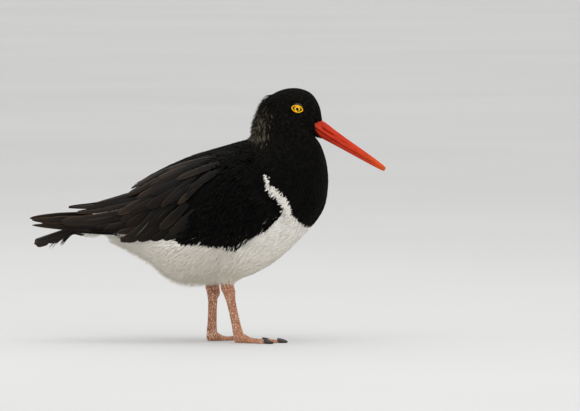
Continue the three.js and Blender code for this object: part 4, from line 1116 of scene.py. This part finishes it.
def make_eye(side, lid_material):
    """Eyeball with a raised cornea, and the two lids as one ring of bare skin that hugs it, with
    fine folds along it."""
    sign = SIDES[side]
    rows, columns = 40, 56
    fall, turn = np.meshgrid(np.linspace(0, math.pi, rows),
                             np.linspace(0, FULL_TURN, columns, endpoint=False), indexing="ij")
    radius = EYE_RADIUS + 0.25 * bump(fall, 0, 0.5)
    ball = np.stack([radius * np.sin(fall) * np.cos(turn), sign * radius * np.cos(fall),
                     radius * np.sin(fall) * np.sin(turn)], -1)
    ball += EYE_CENTRE * (1, sign, 1)
    eye = tube_piece(f"eyeball_{side}", ball, eye_ball(side))
    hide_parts(f"eye_{side}")
    rows, columns = 96, 22
    turn = np.linspace(0, FULL_TURN, rows, endpoint=False)[:, None]
    bend = np.linspace(0, FULL_TURN, columns, endpoint=False)[None, :]
    thick = LID_TUBE * (1 + 0.12 * np.sin(turn) + 0.05 * np.sin(23 * turn))
    x, z = lid_curve(turn, LID_TUBE * 0.55 + thick * np.cos(bend))
    mid_x, mid_z = lid_curve(turn, LID_TUBE * 0.55)
    out = np.maximum(over_ball(mid_x, mid_z, 0.3), LID_LEAST_OUT) + thick * 0.7 * np.sin(bend)
    ring = np.stack([x, sign * out, z], -1)
    lids = make_piece(f"lids_{side}", ring, grid_faces(rows, columns, True, True), lid_material)
    weld(lids)


# Legs

TARSUS = np.array([
    # share from ankle to heel, half depth fore and aft, half width (mm)
    (-0.4, 4.6, 3.6),
    (-0.16, 5.9, 4.3),
    (0.0, 6.3, 4.6),
    (0.1, 5.6, 4.1),
    (0.22, 4.5, 3.2),
    (0.45, 4.2, 2.9),
    (0.75, 4.3, 2.9),
    (0.92, 5.0, 3.7),
    (1.04, 4.8, 4.0),
])
# Toe: angle from the middle one towards the bird's outer side (degrees), length and half width (mm)
TOES = {"inner": (-27, 27, 2.9), "middle": (0, 39.5, 3.1), "outer": (29, 32, 2.9)}
TOE_JOINTS = 2.5
# Ankle knobs: place from the ankle forward and up, and half sizes (mm)
KNOBS = [((2.5, -2.6), (4.4, 4.4, 6.2)), ((-2.9, 2.6), (4.4, 4.3, 5.6))]
# Plates across the front of the shank, how many, and across the toes, how long (mm); their height
SHANK_PLATES = 17
TOE_PLATE = 1.9
SHANK_RELIEF, TOE_RELIEF = 0.16, 0.14
CLAW_LENGTH = 9.2
CLAW_HALF = 2.0
VOXEL = 0.00042


def leg_rings(leg):
    """Shank: ovals along the line from ankle to heel, with shallow plates across its front."""
    share = np.linspace(TARSUS[0, 0], TARSUS[-1, 0], 90)
    fore, wide = (np.interp(share, TARSUS[:, 0], TARSUS[:, i]) for i in (1, 2))
    fore, wide = (np.convolve(np.pad(v, 3, mode="edge"), np.ones(7) / 7, "valid") for v in (fore, wide))
    turn = np.linspace(0, FULL_TURN, 40, endpoint=False)
    ankle, heel = np.array(leg["ankle"], float), np.array(leg["heel"], float)
    centre = ankle + share[:, None] * (heel - ankle)
    front = bump(turn, 0, 0.8) + bump(turn, FULL_TURN, 0.8)
    plates = SHANK_RELIEF * np.abs(np.sin(share * math.pi * SHANK_PLATES))[:, None] * front[None, :]
    tendon = (bump(turn, 2.2, 0.35) + bump(turn, FULL_TURN - 2.2, 0.35))[None, :]
    reach = plates - 0.35 * tendon * smoothstep(share, 0.1, 0.3)[:, None]
    x = centre[:, 0, None] + (fore[:, None] + reach) * np.cos(turn)
    y = centre[:, 1, None] + (wide[:, None] + reach) * np.sin(turn)
    return np.stack([x, y, centre[:, 2, None] + 0 * x], -1)


def toe_frame(angle):
    """A toe's direction along the floor, and the one across it."""
    turn = math.radians(angle)
    ahead = np.array([math.cos(turn), math.sin(turn), 0])
    return ahead, np.array([-ahead[1], ahead[0], 0])


def toe_rings(leg, angle, length, width):
    """Toe: ovals along the floor, swelling at each joint, with plates across the top and a flat
    sole where they would pass below the floor."""
    share = np.linspace(0, 1.02, 80)
    half = width * (1 - 0.28 * share) * (1 + 0.09 * np.cos(share * FULL_TURN * TOE_JOINTS))
    half = half * np.sqrt(np.clip((1.03 - share) / 0.08, 0.05, 1))
    turn = np.linspace(0, FULL_TURN, 32, endpoint=False)
    ahead, across = toe_frame(angle)
    top = bump(turn, 0, 0.9) + bump(turn, FULL_TURN, 0.9)
    plates = TOE_RELIEF * np.abs(np.sin(share * length / TOE_PLATE * math.pi))[:, None] * top[None, :]
    tall = half * 0.82
    z = np.maximum(tall - 0.7, 0.6)[:, None] + (tall[:, None] + plates) * np.cos(turn)
    heel = np.array([leg["heel"][0], leg["heel"][1], 0])
    point = heel + (length * share)[:, None, None] * ahead
    point = point + ((half[:, None] + plates) * np.sin(turn))[..., None] * across
    point[..., 2] = np.maximum(z, 0.0)
    return point


def ball_rings(centre, half):
    """An ellipsoid round a centre, cut off flat where it would pass below the floor."""
    turn, fall = np.meshgrid(np.linspace(0, FULL_TURN, 32, endpoint=False),
                             np.linspace(0.05, math.pi - 0.05, 20))
    x = centre[0] + half[0] * np.sin(fall) * np.cos(turn)
    y = centre[1] + half[1] * np.sin(fall) * np.sin(turn)
    return np.stack([x, y, np.maximum(centre[2] + half[2] * np.cos(fall), 0.0)], -1)


def instep_rings(leg):
    """Instep: ovals that run from the heel's front down on to the toes' roots."""
    share = np.linspace(0, 1, 30)
    turn = np.linspace(0, FULL_TURN, 32, endpoint=False)
    ahead, across = toe_frame(leg["turn"])
    tall = 5.6 - 3.2 * smoothstep(share, 0, 1)
    wide = 4.4 + 1.6 * np.sin(share * math.pi) - 0.6 * share
    fold = 0.4 * np.abs(np.sin(share * math.pi * 5))
    heel = np.array([leg["heel"][0], leg["heel"][1], 0])
    point = heel + (-1 + 15 * share)[:, None, None] * ahead
    point = point + (wide[:, None] * np.sin(turn))[..., None] * across
    point[..., 2] = np.maximum((0.9 * tall)[:, None] + (tall + fold)[:, None] * np.cos(turn), 0.0)
    return point


def claw_rings(leg, angle, length):
    """Claw: ovals that shrink to a blunt point and bend down to the floor."""
    share = np.linspace(-0.08, 1, 34)
    half = CLAW_HALF * (1 - 0.62 * np.clip(share, 0, 1) ** 1.8)
    half = half * np.sqrt(np.clip((1.01 - share) / 0.12, 0.02, 1))
    turn = np.linspace(0, FULL_TURN, 24, endpoint=False)
    ahead, across = toe_frame(angle)
    heel = np.array([leg["heel"][0], leg["heel"][1], 0])
    centre_z = 1.95 - 0.95 * np.clip(share, 0, 1) ** 1.5
    ridge = 1 + 0.18 * (bump(turn, 0, 0.6) + bump(turn, FULL_TURN, 0.6))
    point = heel + (length - 1.6 + CLAW_LENGTH * share)[:, None, None] * ahead \
        + (half[:, None] * np.sin(turn))[..., None] * across
    point[..., 2] = np.maximum(centre_z[:, None] + half[:, None] * 1.15 * ridge * np.cos(turn), 0.02)
    return point


def fuse(pieces, name):
    """Joins overlapping closed pieces into one skin through a fine voxel grid, and smooths it."""
    bpy.ops.object.select_all(action="DESELECT")
    for piece in pieces:
        piece.select_set(True)
    bpy.context.view_layer.objects.active = pieces[0]
    bpy.ops.object.join()
    joined = pieces[0]
    joined.name = joined.data.name = name
    grid = joined.modifiers.new("fuse", "REMESH")
    grid.mode, grid.voxel_size, grid.use_smooth_shade = "VOXEL", VOXEL, True
    soften = joined.modifiers.new("soften", "SMOOTH")
    soften.factor, soften.iterations = 0.5, 3
    for modifier in ("fuse", "soften"):
        bpy.ops.object.modifier_apply(modifier=modifier)
    return joined


def make_leg(side, skin, horn):
    """One leg: shank, heel pad and three toes fused in one skin, and its claws."""
    leg = LEGS[side]
    sign = SIDES[side]
    parts = [tube_piece(f"shank_{side}", leg_rings(leg), skin)]
    ankle, heel = np.array(leg["ankle"], float), np.array(leg["heel"], float)
    parts.append(tube_piece(f"pad_{side}", ball_rings((heel[0], heel[1], 4.4), (5.2, 4.4, 5.4)), skin))
    for i, ((ahead, up), half) in enumerate(KNOBS):
        parts.append(tube_piece(f"knob_{side}_{i}", ball_rings(ankle + (ahead, 0, up), half), skin))
    parts.append(tube_piece(f"instep_{side}", instep_rings(leg), skin))
    for name, (angle, length, width) in TOES.items():
        angle = leg["turn"] + sign * angle
        parts.append(tube_piece(f"toe_{side}_{name}", toe_rings(leg, angle, length, width), skin))
        claw = tube_piece(f"nail_{side}_{name}", claw_rings(leg, angle, length), horn)
        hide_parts(f"claw_{side}_{name}")
    whole = fuse(parts, f"leg_{side}")
    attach(whole, ROOT)
    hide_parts(f"tarsus_{side}", f"foot_{side}")


# Thigh plumage: rings of vanes round each leg's top, hanging over the ankle
THIGH_LOW_Z = 60.5
THIGH_TOP_Z = 78.0
THIGH_TUFTS = 900


def thigh_surface(leg):
    """The feathered thigh as a function of height and turn: ovals that narrow down to the ankle."""
    hip, ankle = np.array(leg["hip"], float), np.array(leg["ankle"], float)

    def surface(z, turn, out=0.0):
        """An oval's point: its centre on the line from hip to ankle, plus its half sizes times the
        cosine of turn forward and the sine to the left."""
        z, turn, out = together(z, turn, out)
        share = (hip[2] - z) / (hip[2] - ankle[2])
        half = np.interp(z, [44, 54, 60, 66, 74], [5.6, 6.2, 8.2, 11.5, 15])
        x = hip[0] + (ankle[0] - hip[0]) * share + (half + 1.2 + out) * np.cos(turn)
        return np.stack([x, hip[1] + (half * 0.82 + out) * np.sin(turn), z], -1)
    return surface


def make_thigh(side, material):
    """Thigh: a skin under white vanes that hang down and end in loose wisps over the ankle."""
    leg = LEGS[side]
    surface = thigh_surface(leg)
    rng = np.random.default_rng(31 + (side == "left"))
    z, turn = np.meshgrid(np.linspace(60, 76, 24), np.linspace(0, FULL_TURN, 36, endpoint=False),
                          indexing="ij")
    skin = tube_piece(f"thigh_skin_{side}", surface(z, turn, -1.0), material)
    set_marks(skin, 1, 0.4)
    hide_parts(f"thigh_{side}")
    ranges = (THIGH_LOW_Z, THIGH_TOP_Z), (0.0, FULL_TURN)
    u, v = scatter(surface, THIGH_TUFTS, *ranges, lambda z, turn: np.ones(len(z)), 37)
    points = lay_tufts(surface, u, v, 6.8, 0.55, rng, lift=0.07, sink=0.8, thick=0.12, spread=16)
    piece = coat_piece(f"coat_thigh_{side}", u, v, points, material, (30, 90), (0, FULL_TURN), rng,
                       np.ones(len(u)))


# Coat: how long a vane is along the body, from the tail root (place 0) to the bill base (mm)
COAT_PLACES = [0, 2, 4, 6, 8, 9.5, 11, 12.5, 14, 15.5, 17]
COAT_LENGTHS = [13, 12.5, 12, 10, 7.5, 6.6, 6.0, 5.0, 4.2, 3.2, 2.3]
COAT_SLENDER = 0.2
SKIN_DEPTH = 1.3
COAT_MAP = (-0.5, BODY_END), (0, FULL_TURN)


def coat_length(place, turn):
    """Length of a body vane at a place along the body."""
    return np.interp(place, COAT_PLACES, COAT_LENGTHS)


def skin_depth(place):
    """Coat depth over the skin, thinner on the face."""
    return np.interp(place, [0, 10, 14, 17], [SKIN_DEPTH, SKIN_DEPTH, 0.8, 0.4])


def make_skin(material):
    """One skin over the body, neck and head: the body surface, sunk by the depth of the coat."""
    place, turn = np.meshgrid(np.linspace(0, BODY_END, 260), np.linspace(0, FULL_TURN, 180, endpoint=False),
                              indexing="ij")
    piece = tube_piece("skin", body_surface(place, turn, -skin_depth(place)), material)
    where = np.empty(len(piece.data.vertices) * 3, np.float32)
    piece.data.vertices.foreach_get("co", where)
    where = where.reshape(-1, 3) / MM
    set_marks(piece, white_share(where), 0.3)
    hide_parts("torso", "neck", "head")


# Parts of the coat: the range of places along the body, and how many vanes
COAT_PARTS = {
    "rear": (-0.25, 3.0, 5200),
    "belly": (3.0, 5.6, 5300),
    "flank": (5.6, 7.6, 5000),
    "breast": (7.6, 9.2, 5200),
    "foreneck": (9.2, 10.7, 4700),
    "neck": (10.7, 12.4, 5200),
    "cheek": (12.4, 14.2, 5400),
    "crown": (14.2, 15.6, 4200),
    "face": (15.6, 16.95, 4200),
}


def near_eye(points, margin):
    """True where a point lies within the eye's opening, grown by a margin."""
    dx, dz = points[..., 0] - EYE_CENTRE[0], points[..., 2] - EYE_CENTRE[2]
    c, s = math.cos(LID_TILT), math.sin(LID_TILT)
    a, b = dx * c + dz * s, -dx * s + dz * c
    reach = (a / (LID_HALF_LENGTH + margin)) ** 2 + (b / (LID_HALF_HEIGHT + margin)) ** 2
    return (reach < 1) & (np.abs(points[..., 1]) > 5)


def eye_gap(points):
    """Distance from the eye's opening in the side view, or a long way on the other parts."""
    dx, dz = points[..., 0] - EYE_CENTRE[0], points[..., 2] - EYE_CENTRE[2]
    gap = np.hypot(dx, dz * LID_HALF_LENGTH / LID_HALF_HEIGHT) - LID_HALF_LENGTH - 1.0
    return np.where(np.abs(points[..., 1]) > 5, gap, 99.0)


def under_wing(points):
    """True where the folded wing covers the body."""
    x, z = points[..., 0], points[..., 2]
    low = np.interp(x, [-110, -80, -50, -20, 10, 40, 60, 72], [112, 108, 106, 105, 104, 108, 116, 128])
    front = np.interp(z, [100, 126, 138, 150, 165, 190], [60, 66, 61, 48, 40, 28])
    out = np.abs(points[..., 1])
    return (z > low) & (x < front) & (out > 14) & (z < 176)


def make_coat(name, material):
    """One part of the coat, over the skin, with its roots even and its markings the skin's."""
    low, high, count = COAT_PARTS[name]
    seed = 11 + list(COAT_PARTS).index(name)
    rng = np.random.default_rng(seed)
    ranges = (low, high), (0.0, FULL_TURN)
    u, v = scatter(body_surface, count, *ranges, lambda p, t: coat_length(p, t) ** 2, seed)
    roots = body_surface(u, v)
    covered = under_wing(roots) | near_eye(roots, 0.9)
    u, v, roots = (a[~covered] for a in (u, v, roots))
    white = white_share(roots)
    nape = (1 - smoothstep(np.minimum(v, FULL_TURN - v), 0.5, 1.25))
    nape *= smoothstep(u, 8.3, 9.1) * (1 - smoothstep(u, 10.9, 12.6))
    fluff = smoothstep(np.abs(v - math.pi), 0.25, 0.7) * (1 - smoothstep(np.abs(v - math.pi), 1.2, 1.7))
    fluff *= smoothstep(u, 0.6, 2.2) * (1 - smoothstep(u, 4.6, 6.4))
    length = coat_length(u, v) * (1 + 0.9 * nape + 0.35 * fluff)
    length = np.minimum(length, np.maximum(eye_gap(roots) * 0.8, 1.2))
    width = length * COAT_SLENDER * (1 - 0.5 * nape - 0.2 * white)
    lie = np.sign(math.pi - v) * 38 * fluff
    depth = skin_depth(u)
    points = lay_tufts(body_surface, u, v, length, width, rng, lie=lie,
                       lift=0.05 + 0.1 * nape * rng.random(len(u)) - 0.03 * white + 0.03 * fluff, sink=0.0,
                       rise=(-0.9 * depth)[:, None, None], thick=0.2 - 0.14 * white,
                       spread=9 + 9 * nape - 4 * white)
    ragged = rng.normal(0, 0.7, len(u))[:, None, None]
    piece = coat_piece(f"coat_{name}", u, v, points, material, *COAT_MAP, rng,
                       white_share(points, ragged), 1 + 0.5 * (1 - white), 0.62 * nape)


# Long wisps over the hind belly
WISPS = 2600


def make_wisps(material):
    """Long hair-like vanes that hang loose over the hind belly and break up its outline."""
    rng = np.random.default_rng(151)
    u = rng.uniform(0.8, 5.0, WISPS)
    v = math.pi + rng.uniform(-1.25, 1.25, WISPS)
    roots = body_surface(u, v)
    kept = white_share(roots) > 0.5
    u, v = u[kept], v[kept]
    lie = np.sign(math.pi - v) * 40 * smoothstep(np.abs(v - math.pi), 0.1, 0.5)
    points = lay_tufts(body_surface, u, v, 13.0, 0.55, rng, lie=lie, lift=0.27, sink=0.6, rise=-0.4,
                       thick=0.08, spread=16)
    piece = coat_piece("wisps", u, v, points, material, *COAT_MAP, rng, np.ones(len(u)))


# Ragged strands down the nape
NAPE_STRANDS = 420


def make_nape(material):
    """Worn olive strands that stand off the back of the neck in a ragged edge."""
    rng = np.random.default_rng(163)
    u = rng.uniform(9.2, 12.6, NAPE_STRANDS)
    v = rng.normal(0, 0.4, NAPE_STRANDS)
    points = lay_tufts(body_surface, u, v, 9.0, 1.1, rng, lift=0.3, sink=0.8, rise=-0.3, thick=0.2,
                       spread=13)
    piece = coat_piece("nape_strands", u, v % FULL_TURN, points, material, *COAT_MAP, rng,
                       np.zeros(NAPE_STRANDS), 1.0, 0.4 * (1 - smoothstep(u, 10.8, 12.4)))


# Mantle: soft feathers over the middle of the back, between the folded wings (mm, radians)
MANTLE_X = (-62, 44)
MANTLE_TURN = (-0.8, 0.8)
MANTLE_TUFTS = 1750


def mantle_length(x, turn):
    """Length of a mantle feather (mm), the same at every turn: shorter towards the neck."""
    return np.interp(x, [-62, 0, 44], [11.0, 9.5, 6.5])


def make_mantle(material):
    """A thin plate along the ridge of the folded wings, under vanes that lie back, some browner towards the
    rear.
    """
    rng = np.random.default_rng(173)
    x, turn = np.meshgrid(np.linspace(*MANTLE_X, 60), np.linspace(*MANTLE_TURN, 30), indexing="ij")
    edge = 4.0 * smoothstep(x, MANTLE_X[1] - 14, MANTLE_X[1]) + 3.0 * (turn / MANTLE_TURN[1]) ** 4
    points = np.stack([cloak_surface(x, turn, -depth - edge) for depth in (1.6, 7.0)])
    skin = make_piece("mantle_skin", points, vane_faces(1, *x.shape), material)
    weld(skin)
    set_marks(skin, 0, 0.3)
    u, v = scatter(cloak_surface, MANTLE_TUFTS, MANTLE_X, MANTLE_TURN, lambda x, t: mantle_length(x, t) ** 2,
                   173)
    length = mantle_length(u, v)
    vanes = lay_tufts(cloak_surface, u, v, length, length * 0.2, rng, lie=-14 * np.sign(v), lift=0.05,
                      sink=1.2, rise=-0.5, outline=CONTOUR_OUTLINE, thick=0.2, spread=10)
    brown = 0.24 * (1 - smoothstep(u, -10, 40)) * rng.random(len(u))
    piece = coat_piece("mantle", u, v, vanes, material, (-90, 50), (-1, 1), rng, np.zeros(len(u)), 1.4,
                       brown)


# Chin: short feathers that run out along the bill's lower half, up to a slanting edge
CHIN_TUFTS = 420
CHIN_EDGE = np.array([(-8.4, 0.262), (-3.1, 0.073)])


def make_chin(material):
    """Short black vanes on the bill's base, below the gape, that lie back from a slanting edge. They
    stand on the bill's own ovals, moved out along their up and side."""
    rng = np.random.default_rng(181)

    def surface(share, turn, out=0.0):
        """The bill's oval, moved out by out times the cosine of turn up and the sine sideways."""
        share, turn, out = together(share, turn, out)
        point = bill_ring(share, turn) + (out * np.cos(turn))[..., None] * BILL_UP
        point[..., 1] += out * np.sin(turn)
        return point

    turn = math.pi + rng.uniform(-1.15, 1.15, CHIN_TUFTS)
    share = rng.uniform(0.01, 0.26, CHIN_TUFTS)
    level = np.interp(share, BILL_SLICES[:, 0], BILL_SLICES[:, 2]) * np.cos(turn)
    kept = (share < np.interp(level, *CHIN_EDGE.T)) & (level < CHIN_EDGE[1, 0])
    share, turn = share[kept], turn[kept]
    points = lay_tufts(surface, share, turn, 3.0, 1.0, rng, lift=0.1, sink=0.5, rise=0.5, thick=0.25,
                       spread=10)
    piece = coat_piece("chin", share, turn, points, material, (-0.2, 0.4), (0, FULL_TURN), rng,
                       np.zeros(len(share)))


# Half the floor's side (m)
FLOOR_REACH = 60.0


def make_stage():
    """Pale floor, out past what the camera sees."""
    corners = [(x * FLOOR_REACH, y * FLOOR_REACH, 0) for x, y in ((-1, -1), (1, -1), (1, 1), (-1, 1))]
    mesh = bpy.data.meshes.new("floor")
    mesh.from_pydata(corners, [], [(0, 1, 2, 3)])
    floor = bpy.data.objects.new("floor", mesh)
    bpy.context.collection.objects.link(floor)
    mesh.materials.append(studio_floor())


# Camera: far off and a little above the bird's middle, at its right side
CAMERA_TARGET = Vector((0.0778, 0, 0.1311))
CAMERA_DISTANCE = 8.0
CAMERA_ELEVATION = math.radians(2.5)
FRAME_WIDTH = 0.5571
SENSOR = 36


def make_camera():
    """Long lens whose frame is FRAME_WIDTH wide at the bird."""
    camera = bpy.data.cameras.new("camera")
    camera.sensor_width = SENSOR
    camera.lens = SENSOR * CAMERA_DISTANCE / FRAME_WIDTH
    camera.clip_start, camera.clip_end = 0.1, 100
    stand = bpy.data.objects.new("camera", camera)
    away = Vector((0, -math.cos(CAMERA_ELEVATION), math.sin(CAMERA_ELEVATION)))
    stand.location = CAMERA_TARGET + CAMERA_DISTANCE * away
    stand.rotation_mode = "QUATERNION"
    stand.rotation_quaternion = (-away).to_track_quat("-Z", "Y")
    bpy.context.collection.objects.link(stand)
    bpy.context.scene.camera = stand


# Lights: place, size and power of each soft box (m, m, W)
SOFT_BOXES = {
    "overhead": ((-0.2, -0.5, 2.4), 2.4, 22),
    "front": ((1.6, -2.2, 1.1), 1.4, 9),
    "rear": ((-1.6, 1.8, 1.3), 1.4, 5),
}
SKY_COLOUR = "#f1f1f0"
SKY_STRENGTH = 1.16


def make_lights():
    """Three soft boxes and an even grey sky."""
    for name, (place, size, power) in SOFT_BOXES.items():
        light = bpy.data.lights.new(name, "AREA")
        light.size, light.energy = size, power
        lamp = bpy.data.objects.new(name, light)
        lamp.location = place
        lamp.rotation_mode = "QUATERNION"
        lamp.rotation_quaternion = (CAMERA_TARGET - Vector(place)).to_track_quat("-Z", "Y")
        bpy.context.collection.objects.link(lamp)
    world = bpy.data.worlds.new("sky")
    world.use_nodes = True
    sky = world.node_tree.nodes["Background"]
    sky.inputs["Color"].default_value = linear(SKY_COLOUR)
    sky.inputs["Strength"].default_value = SKY_STRENGTH
    bpy.context.scene.world = world
    bpy.context.scene.view_settings.view_transform = "Standard"


PLUMAGE = body_plumage()
FLIGHT = flight_plumage()
make_stage()
make_camera()
make_lights()
make_skin(PLUMAGE)
for part in COAT_PARTS:
    make_coat(part, PLUMAGE)
make_wisps(PLUMAGE)
make_nape(PLUMAGE)
make_mantle(PLUMAGE)
make_tail(FLIGHT, PLUMAGE)
for hand in SIDES:
    make_wing_skin(hand, PLUMAGE)
    make_spur(hand, PLUMAGE)
    for feather_set in FEATHERS:
        make_feathers(feather_set, hand, FLIGHT)
    make_small_coverts(hand, PLUMAGE)
    make_fringe(hand, PLUMAGE)
make_bill(bill_horn(), mouth_lining())
make_chin(PLUMAGE)
BARE_LIDS = eye_ring_skin()
SCALED, HORN = leg_skin(), claw_horn()
for hand in SIDES:
    make_eye(hand, BARE_LIDS)
    make_leg(hand, SCALED, HORN)
    make_thigh(hand, PLUMAGE)
